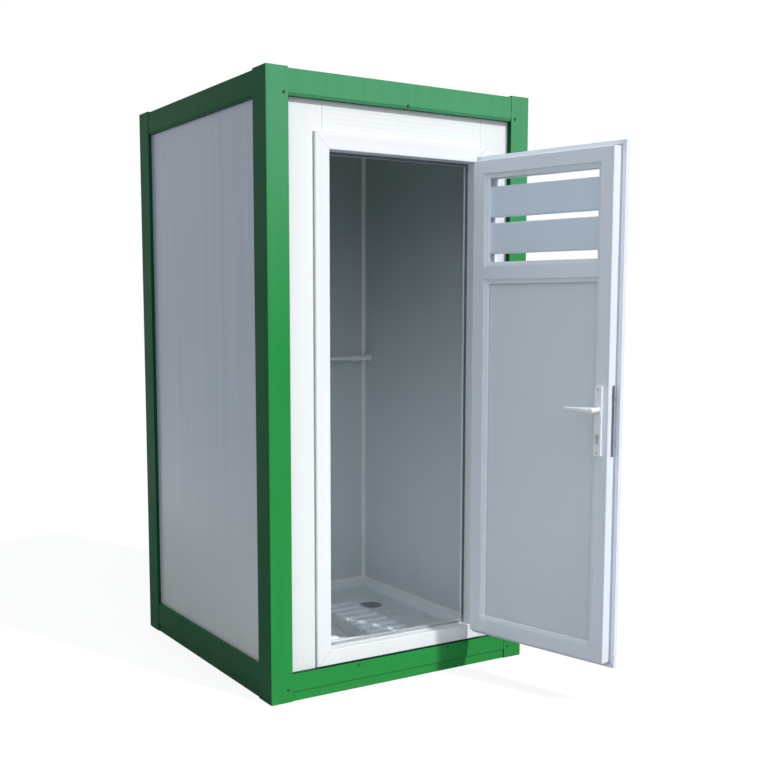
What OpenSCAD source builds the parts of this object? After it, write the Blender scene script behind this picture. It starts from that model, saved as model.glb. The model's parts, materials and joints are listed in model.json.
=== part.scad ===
// Portable shower cabin: folded steel corner posts and beams round sandwich panels,
// a white profile door frame with an outward opening louvred leaf, and a moulded floor
// tray with ribbed standing pads, an oval well and a floor waste.
// X runs along the door wall, Y runs into the cabin, Z is up, and the origin is the middle
// of the footprint at ground level. The leaf is drawn shut and then swung open.

/* [Cabin] */
// Outside width over the corner posts
cabin_w = 1120; // [1060:10:1300]
// Outside depth over the corner posts
cabin_d = 1200; // [1100:10:1500]
// Outside height to the top of the corner posts
cabin_h = 2200; // [2170:10:2500]

/* [Steel frame] */
// Thickness of the folded steel
steel_t = 3; // [2:0.5:4]
// Width of a corner post on the door wall and the rear wall
post_front_leg = 84; // [70:2:110]
// Width of a corner post on the side walls
post_side_leg = 101; // [80:1:120]
// How far the posts stand above the beams
post_rise = 5; // [4:1:15]
// Height of the top beams
top_beam_h = 90; // [70:5:110]
// Height of the bottom beams under the door wall and the rear wall
front_beam_h = 100; // [90:2:110]
// Height of the bottom beams under the side walls
side_beam_h = 122; // [90:2:140]
// Set-back of the beam faces behind the post faces
beam_set_back = 1.5; // [0.5:0.5:3]
// Height of the lip that is folded against a panel
lip_h = 17; // [12:1:25]
// Width of the flange that holds the roof down
cap_flange = 62; // [50:2:80]
// Height of the fold along the bottom beams
fold_z = 36; // [25:1:45]
// Depth of the fold along the bottom beams
fold_depth = 3.5; // [1:0.5:4]
// Height of the slanted lower edge of the top beams
turn_h = 11; // [6:1:14]
// Depth of the slanted lower edge of the top beams
turn_depth = 5; // [3:0.5:6]
// Radius of the outer bend of a post
bend_r = 4; // [3.5:0.5:6]

/* [Panels] */
// Thickness of the wall panels
panel_t = 40; // [30:5:50]
// Depth of the panel faces behind the post faces on the door wall and the rear wall
front_recess = 24; // [18:1:30]
// Depth of the panel faces behind the post faces on the side walls
side_recess = 14; // [10:1:20]
// Width of the panel over the door, between its two joints
door_panel_w = 686; // [684:2:700]
// Distance of that panel's middle to the right of the cabin's middle
door_panel_shift = 7; // [0:1:8]
// Bevel along a panel joint
joint_bevel = 2; // [1:0.5:4]
// Thickness of the roof panel
roof_t = 40; // [30:5:60]
// Height of the ribs of the roof sheet
roof_rib_h = 12; // [8:1:16]
// Thickness of the roof sheet
roof_sheet_t = 1.5; // [1:0.5:2.5]
// Spacing of the ribs of the roof sheet
roof_rib_pitch = 180; // [140:10:260]
// Size of the cove trims in the corners of the room
trim_s = 14; // [10:1:20]

/* [Floor] */
// Width of a floor joist
joist_w = 40; // [30:2:50]
// Height of a floor joist
joist_h = 45; // [40:1:50]
// Wall of a floor joist
joist_wall = 3; // [2:0.5:5]
// Distance of the inner joists from the middle of the cabin
inner_joist_x = 180; // [160:5:200]
// Distance of the outer joists inwards from the corner posts
outer_joist_in = 24; // [22:1:50]
// Thickness of the floor deck
deck_t = 12; // [9:1:15]
// Clearance round the deck and the tray at the walls
deck_gap = 1; // [0.5:0.5:3]

/* [Tray] */
// Thickness of the tray bottom over the deck
tray_t = 6; // [5:0.5:8]
// Height of the tray rim above the deck
rim_h = 25; // [20:1:35]
// Width of the flat rim round the tray
rim_w = 15; // [15:1:40]
// Width of the slope from the rim to the tray bottom
rim_slope = 36; // [20:2:50]
// Height of the standing pads above the tray bottom
pad_h = 8; // [4:1:12]
// Height of the ribs above the standing pads
rib_h = 8; // [5:0.5:11]
// Width of one rib
rib_w = 38; // [28:1:46]
// Distance from one rib to the next
rib_pitch = 71; // [62:1:76]
// Number of ribs on each standing pad
rib_count = 7; // [5:1:7]
// Distance of the outer rib ends from the side walls
rib_end_in = 260; // [254:2:276]
// Radius of the front end of the oval well
well_front_r = 78; // [60:1:80]
// Radius of the rear end of the oval well
well_rear_r = 104; // [85:1:108]
// Distance of the front end's centre in front of the middle of the cabin
well_front_y = 165; // [130:5:170]
// Distance of the rear end's centre behind the middle of the cabin
well_rear_y = 110; // [80:5:125]
// Clear height under the oval well
well_ground_gap = 8; // [6:1:12]
// Wall of the oval well
well_wall = 5; // [4:0.5:6]
// Radius of the outlet in the oval well
outlet_r = 50; // [40:1:55]
// Wall of the outlet collar
outlet_wall = 4; // [3:0.5:5]

/* [Floor waste] */
// Distance of the floor waste from the right wall
waste_in = 190; // [181:1:190]
// Distance of the floor waste behind the middle
waste_y = 165; // [150:5:190]
// Radius of the waste grate
grate_r = 45; // [38:1:46]
// Thickness of the waste grate
grate_t = 3; // [2:0.5:3.5]
// Depth of the shallow dish round the waste grate
dish_depth = 1.5; // [0.5:0.5:2]
// Width of the shallow dish round the waste grate
dish_w = 7; // [4:1:7]
// Outer radius of the waste pipe
waste_pipe_r = 20; // [16:1:20]
// Wall of the waste pipe
waste_pipe_wall = 3; // [2:0.5:4]
// Length of the waste pipe's stub outside the rear wall
waste_stub = 40; // [30:2:60]

/* [Door frame] */
// Clear width between the rebates of the door frame
opening_w = 624; // [600:2:626]
// Height of the sill rebate above the ground
opening_z = 160; // [155:1:175]
// Distance from the cabin's top down to the head rebate
head_drop = 259; // [256:1:400]
// Visible width of the door frame
frame_face = 56; // [50:1:60]
// Width of the door frame inside the wall
frame_body = 22; // [16:1:23]
// Depth of the door frame
frame_depth = 54; // [50:1:62]
// How far the door frame stands out from the panels
frame_proud = 14; // [10:1:22]
// Depth of the rebate in front of the stop
rebate_depth = 40; // [38:0.5:42]
// Height of the stop behind the leaf
stop_h = 12; // [11:1:18]
// Bevel of the profile edges
profile_bevel = 2; // [1:0.5:3]

/* [Door leaf] */
// Angle that the leaf stands open
open_angle = 103; // [60:1:120]
// Overlap of the leaf's flange on the door frame
leaf_overlap = 12; // [8:1:14]
// Height of the leaf's flange beyond its body
leaf_lip = 20; // [17:1:22]
// Thickness of the leaf's flange
flange_t = 20; // [14:1:22]
// Depth of the leaf's body behind the flange
body_t = 40; // [36:1:40]
// Gap between the flange and the door frame
flange_gap = 1; // [0.5:0.5:2]
// Width of the leaf's profile with its flange, without the bead
sash_w = 70; // [64:1:78]
// Width of a glazing bead and of the outer lip opposite
bead_w = 17; // [14:1:20]
// Depth of the outer lip
outer_lip_t = 16; // [12:1:18]
// Thickness of the infill panel and of the slats
infill_t = 24; // [18:1:26]
// How far a bead slopes down to the infill
bead_fall = 8; // [4:1:12]
// Distance from the head rebate down to the mid rail's lower edge
mid_rail_drop = 439; // [380:1:640]
// Height of the mid rail
mid_rail_h = 48; // [40:1:60]
// Gap over and under the pair of slats
slat_end_gap = 28.5; // [15:0.5:45]
// Gap between the two slats
slat_gap = 20; // [10:1:40]
// Clearance round the infill and at the ends of the slats
infill_gap = 1; // [0.5:0.5:2]

/* [Hinges] */
// Distance of the hinge axis in front of the leaf
hinge_out = 10; // [10:0.5:14]
// Radius of the hinge knuckles
knuckle_r = 9.5; // [7:0.5:9.5]
// Radius of the hinge pins
pin_r = 4; // [3:0.5:5]
// Running clearance of the hinge pins
pin_play = 0.05; // [0.02:0.01:0.1]
// Height of the middle knuckle
knuckle_h = 40; // [30:2:60]
// Height of each outer knuckle
outer_knuckle_h = 28; // [20:2:40]
// Distance of the upper and the lower hinge from the leaf's ends
hinge_end = 184.5; // [150:0.5:260]
// Thickness of the hinge plates
hinge_plate_t = 3; // [2:0.5:4]
// Width of the hinge plates
hinge_plate_w = 30; // [20:1:34]

/* [Lock] */
// Height of the levers
lever_z = 1052; // [950:1:1150]
// Distance of the lever and the cylinder from the leaf's free edge
backset = 57; // [54:0.5:58]
// Height of a handle plate
plate_h = 242; // [225:1:260]
// Width of a handle plate
plate_w = 30; // [28:1:34]
// Thickness of a handle plate
plate_t = 10; // [8:1:12]
// Length of a lever
lever_len = 124; // [100:1:140]
// Distance of a lever from its plate
lever_reach = 34; // [28:1:45]
// Distance from the levers down to the cylinder
cylinder_drop = 92; // [85:1:92]
// Radius of the cylinder's round part
cylinder_r = 8.5; // [8:0.1:9]
// Radius of the key plug
plug_r = 6.5; // [5.5:0.1:7]
// Height of the lock's faceplate
faceplate_h = 244; // [230:1:260]
// Width of the lock's faceplate
faceplate_w = 16; // [16:1:20]
// Thickness of the lock's faceplate
faceplate_t = 3; // [2:0.5:4]
// Depth of the bolts behind the front of the flange
bolt_b = 32; // [31:0.5:34]
// Height of the latch bolt above the levers
latch_rise = 36; // [30:1:42]
// Travel of the latch bolt
latch_throw = 12; // [10:1:14]
// Travel of the deadbolt
dead_throw = 20; // [14:1:20]

/* [Water] */
// Height of the supply pipe
pipe_z = 1165; // [1000:5:1300]
// Distance of the supply pipe from the rear wall
pipe_off = 52; // [52:1:60]
// Outer radius of the supply pipe
pipe_r = 10; // [8:0.5:12.5]
// Radius of the pipe fittings
fitting_r = 15.5; // [14:0.5:18]
// Distance of the pipe coupling from the right wall
coupling_off = 84; // [60:2:120]
// Length of the pipe coupling
coupling_len = 34; // [26:2:40]
// Length of the fitting at the right wall
wall_fitting_len = 30; // [24:2:40]
// Radius of the inlet's threaded end
inlet_r = 10.5; // [10:0.1:10.5]
// Length of the inlet's threaded end outside the corner post
inlet_stub = 28; // [20:1:40]
// Radius of the riser
riser_r = 9; // [7:0.5:10]
// Distance from the cabin's top down to the shower arm
arm_drop = 190; // [150:5:300]
// Reach of the shower arm from the riser
arm_reach = 300; // [200:10:400]
// Radius of the riser's bends
riser_bend = 60; // [40:5:80]
// Radius of the shower head
head_r = 55; // [40:1:80]
// Radius of the ball under the shower arm
ball_r = 9; // [8:0.5:10]

/* [Hidden] */
$fn = 48;

// Room and wall planes, as distances from the middle
half_w = cabin_w / 2;
half_d = cabin_d / 2;
side_face = half_w - side_recess;
side_in = side_face - panel_t;
front_face = half_d - front_recess;
front_in = front_face - panel_t;
corner_x = half_w - post_front_leg;
corner_y = half_d - post_side_leg;
joint_left = door_panel_w / 2 - door_panel_shift;
joint_right = door_panel_w / 2 + door_panel_shift;
butt_gap = 0.3;
cut_extra = 1;

// Heights from the ground up
beam_top = cabin_h - post_rise;
roof_top = beam_top - steel_t - roof_rib_h;
ceiling_z = roof_top - roof_t;
deck_z = steel_t + joist_h;
deck_top = deck_z + deck_t;
tray_floor = deck_top + tray_t;
rim_top = deck_top + rim_h;
pad_top = tray_floor + pad_h;
well_floor = well_ground_gap + well_wall;
rib_end_x = side_in - rib_end_in;
grate_z = tray_floor - dish_depth - grate_t;

// Door frame and leaf, in the plane of the door wall
opening_h = cabin_h - head_drop - opening_z;
frame_y = -front_face - frame_proud;
frame_half_w = opening_w / 2 + frame_face;
frame_half_h = opening_h / 2 + frame_face;
door_mid_z = opening_z + opening_h / 2;
leaf_half_w = opening_w / 2 + leaf_overlap;
leaf_half_h = opening_h / 2 + leaf_overlap + 2;
leaf_y = frame_y - flange_gap - flange_t;
leaf_t = flange_t + body_t;
hinge_x = leaf_half_w;
hinge_y = leaf_y - hinge_out;
mitre_gap = 0.1;
bay_half_w = leaf_half_w - sash_w;
bay_bottom = door_mid_z - leaf_half_h + sash_w;
bay_top = door_mid_z + leaf_half_h - sash_w;
mid_rail_z = opening_z + opening_h - mid_rail_drop;
mid_rail_top = mid_rail_z + mid_rail_h;
louvre_low = mid_rail_top + bead_w;
louvre_high = bay_top - bead_w;
slat_h = (louvre_high - louvre_low - 2 * slat_end_gap - slat_gap) / 2;
infill_b = outer_lip_t;
bead_b = infill_b + infill_t;

// Lock, measured from the leaf's free edge and from the front of the flange
fit_gap = 0.3;
lock_x = -leaf_half_w + backset;
edge_x = -leaf_half_w + leaf_lip;
bolt_y = leaf_y + bolt_b;
case_depth = sash_w - leaf_lip - faceplate_t - 1;
case_t = faceplate_w - 2;
case_low = lever_z - cylinder_drop - 36;
case_high = lever_z + latch_rise + 30;
case_wall = 1.5;
plate_mid_z = lever_z - 39;
cylinder_z = lever_z - cylinder_drop;
flag_w = 10;
flag_h = 24.5;
latch_z = lever_z + latch_rise;
latch_h = 14;
latch_w = 10;
dead_z = lever_z - 54;
dead_h = 24;
dead_w = 8;
hub_r = 8.5;
spindle_s = 8;
neck_r = 9;
pocket_gap = 2;
strike_t = 2;

// Water
waste_x = side_in - waste_in;
pipe_y = front_in - pipe_off;
arm_z = cabin_h - arm_drop;
valve_r = 15;
valve_len = 30;
bonnet_len = 34;
nut_end = half_w + 2;
nut_r = 13;
arm_y = pipe_y - arm_reach;
waste_pipe_z = deck_z - waste_pipe_r - 1;
trap_r = 50;
socket_wall = 3;
fine_gap = 0.1;

// A polygon's points with every corner whose cut is above 0 bevelled by that length
function unit(v) = v / norm(v);
function bevelled(pts, cuts) = [
    for (i = [0 : len(pts) - 1])
        let (
            p = pts[i],
            before = pts[(i + len(pts) - 1) % len(pts)],
            after = pts[(i + 1) % len(pts)],
            cut = cuts[i]
        )
        each cut > 0 ? [p + cut * unit(before - p), p + cut * unit(after - p)] : [p]
];

// Waste piece that rounds an outer corner at the origin
module bend_waste(r) {
    difference() {
        translate([-cut_extra, -cut_extra]) square(r + cut_extra);
        translate([r, r]) circle(r);
    }
}

// Folded corner post of the front left corner, with its base and top plates
module corner_post() {
    difference() {
        union() {
            linear_extrude(cabin_h) polygon([
                [0, 0],
                [post_front_leg, 0],
                [post_front_leg, front_recess],
                [post_front_leg - steel_t, front_recess],
                [post_front_leg - steel_t, steel_t],
                [steel_t, steel_t],
                [steel_t, post_side_leg - steel_t],
                [side_recess, post_side_leg - steel_t],
                [side_recess, post_side_leg],
                [0, post_side_leg]
            ]);
            cube([post_front_leg, post_side_leg, steel_t]);
            translate([0, 0, cabin_h - steel_t]) cube([post_front_leg, post_side_leg, steel_t]);
        }
        translate([0, 0, -cut_extra]) linear_extrude(cabin_h + 2 * cut_extra) bend_waste(bend_r);
        for (z = post_screw_z) translate([post_screw_in, 0, z]) screw_bore();
    }
}

// Screws of the steel frame: those in the posts, and those along the beams
screw_r = 2.4;
screw_head_r = 6;
screw_head_t = 3;
screw_len = 16;
post_screw_in = 67;
post_screw_z = [47, beam_top - 80];
top_screw_x = 6;
top_screw_z = beam_top - 78;
low_screw_x = 200;
low_screw_z = front_beam_h - 11;

module screw_bore() {
    rotate([-90, 0, 0]) translate([0, 0, -cut_extra])
        cylinder(r = screw_r + fine_gap, h = screw_len + 2 * cut_extra);
}

module frame_screw() {
    rotate([-90, 0, 0]) {
        cylinder(r = screw_r, h = screw_len);
        rotate([180, 0, 0]) intersection() {
            cylinder(r = screw_head_r, h = screw_head_t);
            translate([0, 0, screw_head_t - 9]) sphere(r = 9);
        }
    }
}

module door_wall_screws() {
    for (x = [-1, 1], z = post_screw_z)
        translate([x * (half_w - post_screw_in), -half_d, z]) frame_screw();
    translate([top_screw_x, -half_d + beam_set_back, top_screw_z]) frame_screw();
    for (x = [-1, 1])
        translate([x * low_screw_x, -half_d + beam_set_back, low_screw_z]) frame_screw();
}

module frame_screws() {
    color("#2f5f3d") {
        door_wall_screws();
        rotate([0, 0, 180]) door_wall_screws();
    }
}

module corner_posts(y_side) {
    for (x_side = [0, 1])
        mirror([x_side, 0, 0]) mirror([0, y_side, 0])
            translate([-half_w, -half_d, 0]) corner_post();
}

module corner_posts_front() {
    color("#3fa05c") corner_posts(0);
}

module corner_posts_rear() {
    color("#3fa05c") corner_posts(1);
}

// Sections of the folded beams: x goes inwards from the beam's face, y goes up
function top_beam_section(ledge) = [
    [turn_depth, 0],
    [ledge, 0],
    [ledge, lip_h],
    [ledge - steel_t, lip_h],
    [ledge - steel_t, steel_t],
    [turn_depth + steel_t / 2, steel_t],
    [steel_t, turn_h],
    [steel_t, top_beam_h - steel_t],
    [cap_flange, top_beam_h - steel_t],
    [cap_flange, top_beam_h],
    [0, top_beam_h],
    [0, turn_h]
];

function top_beam_end(ledge) = [
    [turn_depth, 0],
    [ledge, 0],
    [ledge, top_beam_h],
    [0, top_beam_h],
    [0, turn_h]
];

function bottom_beam_section(ledge, height, seat) = [
    [fold_depth, 0],
    [seat, 0],
    [seat, steel_t],
    [fold_depth + steel_t, steel_t],
    [fold_depth + steel_t, fold_z - fold_depth],
    [steel_t, fold_z],
    [steel_t, height - steel_t],
    [ledge - steel_t, height - steel_t],
    [ledge - steel_t, height - lip_h],
    [ledge, height - lip_h],
    [ledge, height],
    [0, height],
    [0, fold_z],
    [fold_depth, fold_z - fold_depth]
];

function bottom_beam_end(ledge, height) = [
    [fold_depth, 0],
    [ledge, 0],
    [ledge, height],
    [0, height],
    [0, fold_z],
    [fold_depth, fold_z - fold_depth]
];

// A beam along X with closed ends; its face is at y = 0 and its middle at x = 0
module beam(section, end, length) {
    rotate([90, 0, 90]) {
        linear_extrude(length, center = true) polygon(section);
        for (side = [-1, 1]) translate([0, 0, side * (length - steel_t) / 2])
            linear_extrude(steel_t, center = true) polygon(end);
    }
}

front_ledge = front_recess - beam_set_back;
side_ledge = side_recess - beam_set_back;
front_beam_len = 2 * (corner_x - butt_gap);
side_beam_len = 2 * (corner_y - butt_gap);

module top_front() {
    difference() {
        translate([0, -half_d + beam_set_back, beam_top - top_beam_h])
            beam(top_beam_section(front_ledge), top_beam_end(front_ledge), front_beam_len);
        translate([top_screw_x, -half_d, top_screw_z]) screw_bore();
    }
}

module top_beam_front() {
    color("#3fa05c") top_front();
}

module top_beam_rear() {
    color("#3fa05c") rotate([0, 0, 180]) top_front();
}

module top_beams_side() {
    color("#2f7f47")
        for (turn = [-90, 90]) rotate([0, 0, turn])
            translate([0, -half_w + beam_set_back, beam_top - top_beam_h])
                beam(top_beam_section(side_ledge), top_beam_end(side_ledge), side_beam_len);
}

module bottom_front() {
    difference() {
        translate([0, -half_d + beam_set_back, 0])
            beam(
                bottom_beam_section(front_ledge, front_beam_h, post_side_leg - beam_set_back),
                bottom_beam_end(front_ledge, front_beam_h), front_beam_len
            );
        for (x = [-1, 1]) translate([x * low_screw_x, -half_d, low_screw_z]) screw_bore();
    }
}

module bottom_beam_front() {
    color("#3fa05c") bottom_front();
}

module bottom_beam_rear() {
    color("#3fa05c") difference() {
        rotate([0, 0, 180]) bottom_front();
        waste_route(waste_pipe_r + 1);
    }
}

module bottom_beams_side() {
    color("#2f7f47")
        for (turn = [-90, 90]) rotate([0, 0, turn])
            translate([0, -half_w + beam_set_back, 0])
                beam(
                    bottom_beam_section(side_ledge, side_beam_h, post_front_leg - beam_set_back),
                    bottom_beam_end(side_ledge, side_beam_h), side_beam_len
                );
}

// Angles inside the posts that the post screws bite into
bracket_h = 70;
bracket_side = 80;
bracket_z = [12, beam_top - 12 - bracket_h];

module corner_bracket() {
    front_leg = post_front_leg - 2 * steel_t - butt_gap;
    difference() {
        union() {
            cube([front_leg, steel_t, bracket_h]);
            cube([steel_t, bracket_side, bracket_h]);
        }
        for (i = [0, 1])
            translate([post_screw_in - steel_t, 0, post_screw_z[i] - bracket_z[i]]) screw_bore();
    }
}

module corner_brackets() {
    color("#a9adb0")
        for (x_side = [0, 1], y_side = [0, 1], z = bracket_z)
            mirror([x_side, 0, 0]) mirror([0, y_side, 0])
                translate([-half_w + steel_t, -half_d + steel_t, z]) corner_bracket();
}

// Floor
module floor_joists() {
    length = 2 * (front_in - deck_gap);
    color("#a9adb0")
        for (side = [-1, 1], x = [inner_joist_x, corner_x - outer_joist_in])
            translate([side * x, 0, steel_t + joist_h / 2]) difference() {
                cube([joist_w, length, joist_h], center = true);
                cube([joist_w - 2 * joist_wall, length + 2 * cut_extra, joist_h - 2 * joist_wall],
                    center = true);
            }
}

// Outline of the oval well: two circles and the tangents that join them
well_span = well_front_y + well_rear_y;
well_lean = asin((well_rear_r - well_front_r) / well_span);

well_steps = 20;

// Points along one round end, from one tangent to the other
function well_arc(r, y, from, to) = [
    for (i = [0 : well_steps])
        let (a = from + (to - from) * i / well_steps)
        [r * cos(a), y + r * sin(a)]
];

module well_outline(grow) {
    polygon(concat(
        well_arc(well_rear_r + grow, well_rear_y, -well_lean, 180 + well_lean),
        well_arc(well_front_r + grow, -well_front_y, 180 + well_lean, 360 - well_lean)
    ));
}

// Space that the waste pipe takes on its way out through the rear wall
module waste_route(r) {
    translate([waste_x, waste_y, waste_pipe_z]) rotate([-90, 0, 0]) cylinder(r = r, h = cabin_d);
}

outlet_y = well_rear_y + 10;
collar_r = outlet_r + outlet_wall;

module underfloor_sheet() {
    color("#a9adb0") difference() {
        translate([-corner_x + butt_gap, -corner_y + butt_gap, 0])
            cube([2 * (corner_x - butt_gap), 2 * (corner_y - butt_gap), steel_t]);
        translate([0, outlet_y, -cut_extra])
            cylinder(r = collar_r + 2, h = steel_t + 2 * cut_extra);
    }
}

module floor_deck() {
    half_x = side_in - deck_gap;
    half_y = front_in - deck_gap;
    color("#b08b5a") difference() {
        translate([-half_x, -half_y, deck_z]) cube([2 * half_x, 2 * half_y, deck_t]);
        translate([0, 0, deck_z - cut_extra]) linear_extrude(deck_t + 2 * cut_extra)
            well_outline(well_wall + 3);
        translate([waste_x, waste_y, deck_z - cut_extra])
            cylinder(r = trap_r + 4, h = deck_t + 2 * cut_extra);
        translate([waste_x - waste_pipe_r - 6, waste_y, deck_z - cut_extra])
            cube([2 * waste_pipe_r + 12, trap_r + 34, deck_t + 2 * cut_extra]);
    }
}

// Walls
module slab(x0, x1, y0, y1, z0, z1) {
    translate([x0, y0, z0]) cube([x1 - x0, y1 - y0, z1 - z0]);
}

module side_panel_left() {
    color("#c9d2d6") slab(-side_face, -side_in, -front_face, front_face, steel_t, ceiling_z);
}

module side_panel_right() {
    color("#c9d2d6") difference() {
        slab(side_in, side_face, -front_face, front_face, steel_t, ceiling_z);
        translate([side_in - cut_extra, pipe_y, pipe_z]) rotate([0, 90, 0])
            cylinder(r = inlet_r + 1, h = panel_t + 2 * cut_extra);
    }
}

module rear_panel() {
    color("#c9d2d6") difference() {
        slab(-side_in, side_in, front_in, front_face, steel_t, ceiling_z);
        waste_route(waste_pipe_r + 1);
    }
}

frame_body_half_w = opening_w / 2 + frame_body;
frame_body_half_h = opening_h / 2 + frame_body;

// A strip of the door wall with a bevelled edge at its joint, and beside the door frame its lining
module front_strip(joint) {
    color("#f3f6f7") {
        translate([0, 0, steel_t]) linear_extrude(ceiling_z - steel_t)
            polygon(bevelled([
                [-side_in, -front_face],
                [-joint, -front_face],
                [-joint, -front_in],
                [-side_in, -front_in]
            ], [0, joint_bevel, joint_bevel, 0]));
        slab(-joint - joint_bevel, -frame_body_half_w - butt_gap, -front_face, -front_in,
            door_mid_z - frame_body_half_h, door_mid_z + frame_body_half_h);
    }
}

module front_panel_left() {
    front_strip(joint_left);
}

module front_panel_right() {
    mirror([1, 0, 0]) front_strip(joint_right);
}

module joint_panel(z0, z1) {
    left = -joint_left + butt_gap;
    right = joint_right - butt_gap;
    color("#f3f6f7") translate([0, 0, z0]) linear_extrude(z1 - z0)
        polygon(bevelled([
            [left, -front_face],
            [right, -front_face],
            [right, -front_in],
            [left, -front_in]
        ], [joint_bevel, joint_bevel, joint_bevel, joint_bevel]));
}

module over_door_panel() {
    joint_panel(door_mid_z + frame_body_half_h + butt_gap, ceiling_z);
}

module sill_panel() {
    joint_panel(steel_t, door_mid_z - frame_body_half_h - butt_gap);
}

// Roof
module roof_panel() {
    color("#dfe4e6") slab(-side_face, side_face, -front_face, front_face, ceiling_z, roof_top);
}

roof_rib_foot = 46;
roof_rib_crown = 26;
rib_fall = (roof_rib_foot - roof_rib_crown) / 2;

// One trapezoid rib of the roof sheet, as the points of its upper or lower line
function rib_line(x, lift) = [
    [x - roof_rib_foot / 2, lift],
    [x - roof_rib_foot / 2 + rib_fall, roof_rib_h - roof_sheet_t + lift],
    [x + roof_rib_foot / 2 - rib_fall, roof_rib_h - roof_sheet_t + lift],
    [x + roof_rib_foot / 2, lift]
];

roof_rib_n = floor((side_face - roof_rib_foot) / roof_rib_pitch);

module roof_sheet() {
    ribs = [for (i = [-roof_rib_n : roof_rib_n]) i * roof_rib_pitch];
    top = [for (x = ribs) each rib_line(x, roof_sheet_t)];
    under = [for (i = [len(ribs) - 1 : -1 : 0]) let (line = rib_line(ribs[i], 0))
        each [for (k = [3 : -1 : 0]) line[k]]];
    color("#c4c9cc") translate([0, 0, roof_top]) rotate([90, 0, 0])
        linear_extrude(2 * front_face, center = true)
            polygon(concat(
                [[-side_face, 0], [-side_face, roof_sheet_t]],
                top,
                [[side_face, roof_sheet_t], [side_face, 0]],
                under
            ));
}

// Cove trims: a square bar with a hollow face, mitred at its ends
module cove_section() {
    difference() {
        square(trim_s);
        translate([trim_s, trim_s]) circle(trim_s - 2);
    }
}

// A cove bar along X under or over the edge of a wall at y = 0, with the room towards +y
module cove_bar(length) {
    intersection() {
        rotate([90, 0, 90]) linear_extrude(length, center = true) cove_section();
        linear_extrude(3 * trim_s, center = true) polygon([
            [-length / 2 + mitre_gap, 0],
            [length / 2 - mitre_gap, 0],
            [length / 2 - trim_s - mitre_gap, trim_s],
            [-length / 2 + trim_s + mitre_gap, trim_s]
        ]);
    }
}

module cove_ring() {
    for (turn = [0, 180]) {
        rotate([0, 0, turn]) translate([0, -front_in, 0]) cove_bar(2 * side_in);
        rotate([0, 0, turn + 90]) translate([0, -side_in, 0]) cove_bar(2 * front_in);
    }
}

module edge_trims() {
    low = rim_top + trim_s;
    high = ceiling_z - trim_s;
    color("#e8ecee") {
        for (x_side = [0, 1], y_side = [0, 1])
            mirror([x_side, 0, 0]) mirror([0, y_side, 0])
                translate([-side_in, -front_in, low]) linear_extrude(high - low) cove_section();
        translate([0, 0, ceiling_z]) mirror([0, 0, 1]) cove_ring();
    }
}

module tray_trims() {
    color("#eef1f2") translate([0, 0, rim_top]) cove_ring();
}

// Door frame section: x goes inwards from the outer edge, y goes from the front to the back
body_in = frame_face - frame_body;
gasket_t = 3;
gasket_w = 10;
gasket_in = frame_face + stop_h - gasket_w;
frame_section = bevelled([
    [0, 0],
    [frame_face, 0],
    [frame_face, rebate_depth],
    [gasket_in, rebate_depth],
    [gasket_in, rebate_depth + gasket_t],
    [frame_face + stop_h, rebate_depth + gasket_t],
    [frame_face + stop_h, frame_depth],
    [body_in, frame_depth],
    [body_in, frame_proud],
    [0, frame_proud]
], [profile_bevel, profile_bevel, 0, 0, 0, 0, profile_bevel, 0, 0, 0]);

// One side of a mitred frame: it runs along Z with its outer edge at x = 0
module ring_bar(section, length, reach) {
    half = length / 2 - mitre_gap;
    intersection() {
        linear_extrude(length, center = true) polygon([for (p = section) [-p[0], p[1]]]);
        rotate([90, 0, 0]) linear_extrude(4 * leaf_t, center = true)
            polygon([[0, half], [0, -half], [-reach, reach - half], [-reach, half - reach]]);
    }
}

frame_reach = frame_face + stop_h + cut_extra;

module frame_side(turn, offset, length) {
    color("#f6f8f9") translate([0, frame_y, door_mid_z]) rotate([0, turn, 0])
        translate([offset, 0, 0]) ring_bar(frame_section, length, frame_reach);
}

module door_frame_head() {
    frame_side(-90, frame_half_h, 2 * frame_half_w);
}

module door_frame_sill() {
    frame_side(90, frame_half_h, 2 * frame_half_w);
}

module door_frame_hinge_jamb() {
    frame_side(0, frame_half_w, 2 * frame_half_h);
}

rebate_x = opening_w / 2;

module door_frame_latch_jamb() {
    color("#f6f8f9") difference() {
        frame_side(180, frame_half_w, 2 * frame_half_h);
        strike_space(0);
        latch_space(latch_z, latch_h, latch_w, latch_throw);
        latch_space(dead_z, dead_h, dead_w, dead_throw);
    }
}

// Pocket behind the strike plate for a bolt of the given height, width and travel
module latch_space(z, h, w, throw) {
    depth = throw - (edge_x + rebate_x) + pocket_gap;
    translate([-rebate_x - depth, bolt_y - w / 2 - pocket_gap, z - h / 2 - pocket_gap])
        cube([depth + cut_extra, w + 2 * pocket_gap, h + 2 * pocket_gap]);
}

module strike_space(shrink) {
    w = faceplate_w - 2 * shrink;
    h = faceplate_h - 2 * shrink;
    translate([-rebate_x - strike_t, bolt_y - w / 2, plate_mid_z - h / 2])
        cube([strike_t + (shrink > 0 ? 0 : cut_extra), w, h]);
}

module strike_plate() {
    color("#c8ccd0") difference() {
        strike_space(fine_gap);
        latch_space(latch_z, latch_h, latch_w, latch_throw);
        latch_space(dead_z, dead_h, dead_w, dead_throw);
    }
}

// Black seal along the front corner of the stop, standing a little out towards the leaf
module frame_gasket() {
    seal_proud = flange_gap - 0.2;
    outer_w = opening_w - 2 * (gasket_in - frame_face) - 2 * fine_gap;
    outer_h = opening_h - 2 * (gasket_in - frame_face) - 2 * fine_gap;
    inner_w = outer_w - 2 * gasket_w + 4 * fine_gap;
    inner_h = outer_h - 2 * gasket_w + 4 * fine_gap;
    color("#1d1f21")
        translate([0, frame_y + rebate_depth + gasket_t, door_mid_z]) rotate([90, 0, 0])
            linear_extrude(gasket_t + seal_proud) difference() {
                square([outer_w, outer_h], center = true);
                square([inner_w, inner_h], center = true);
            }
}

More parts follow.
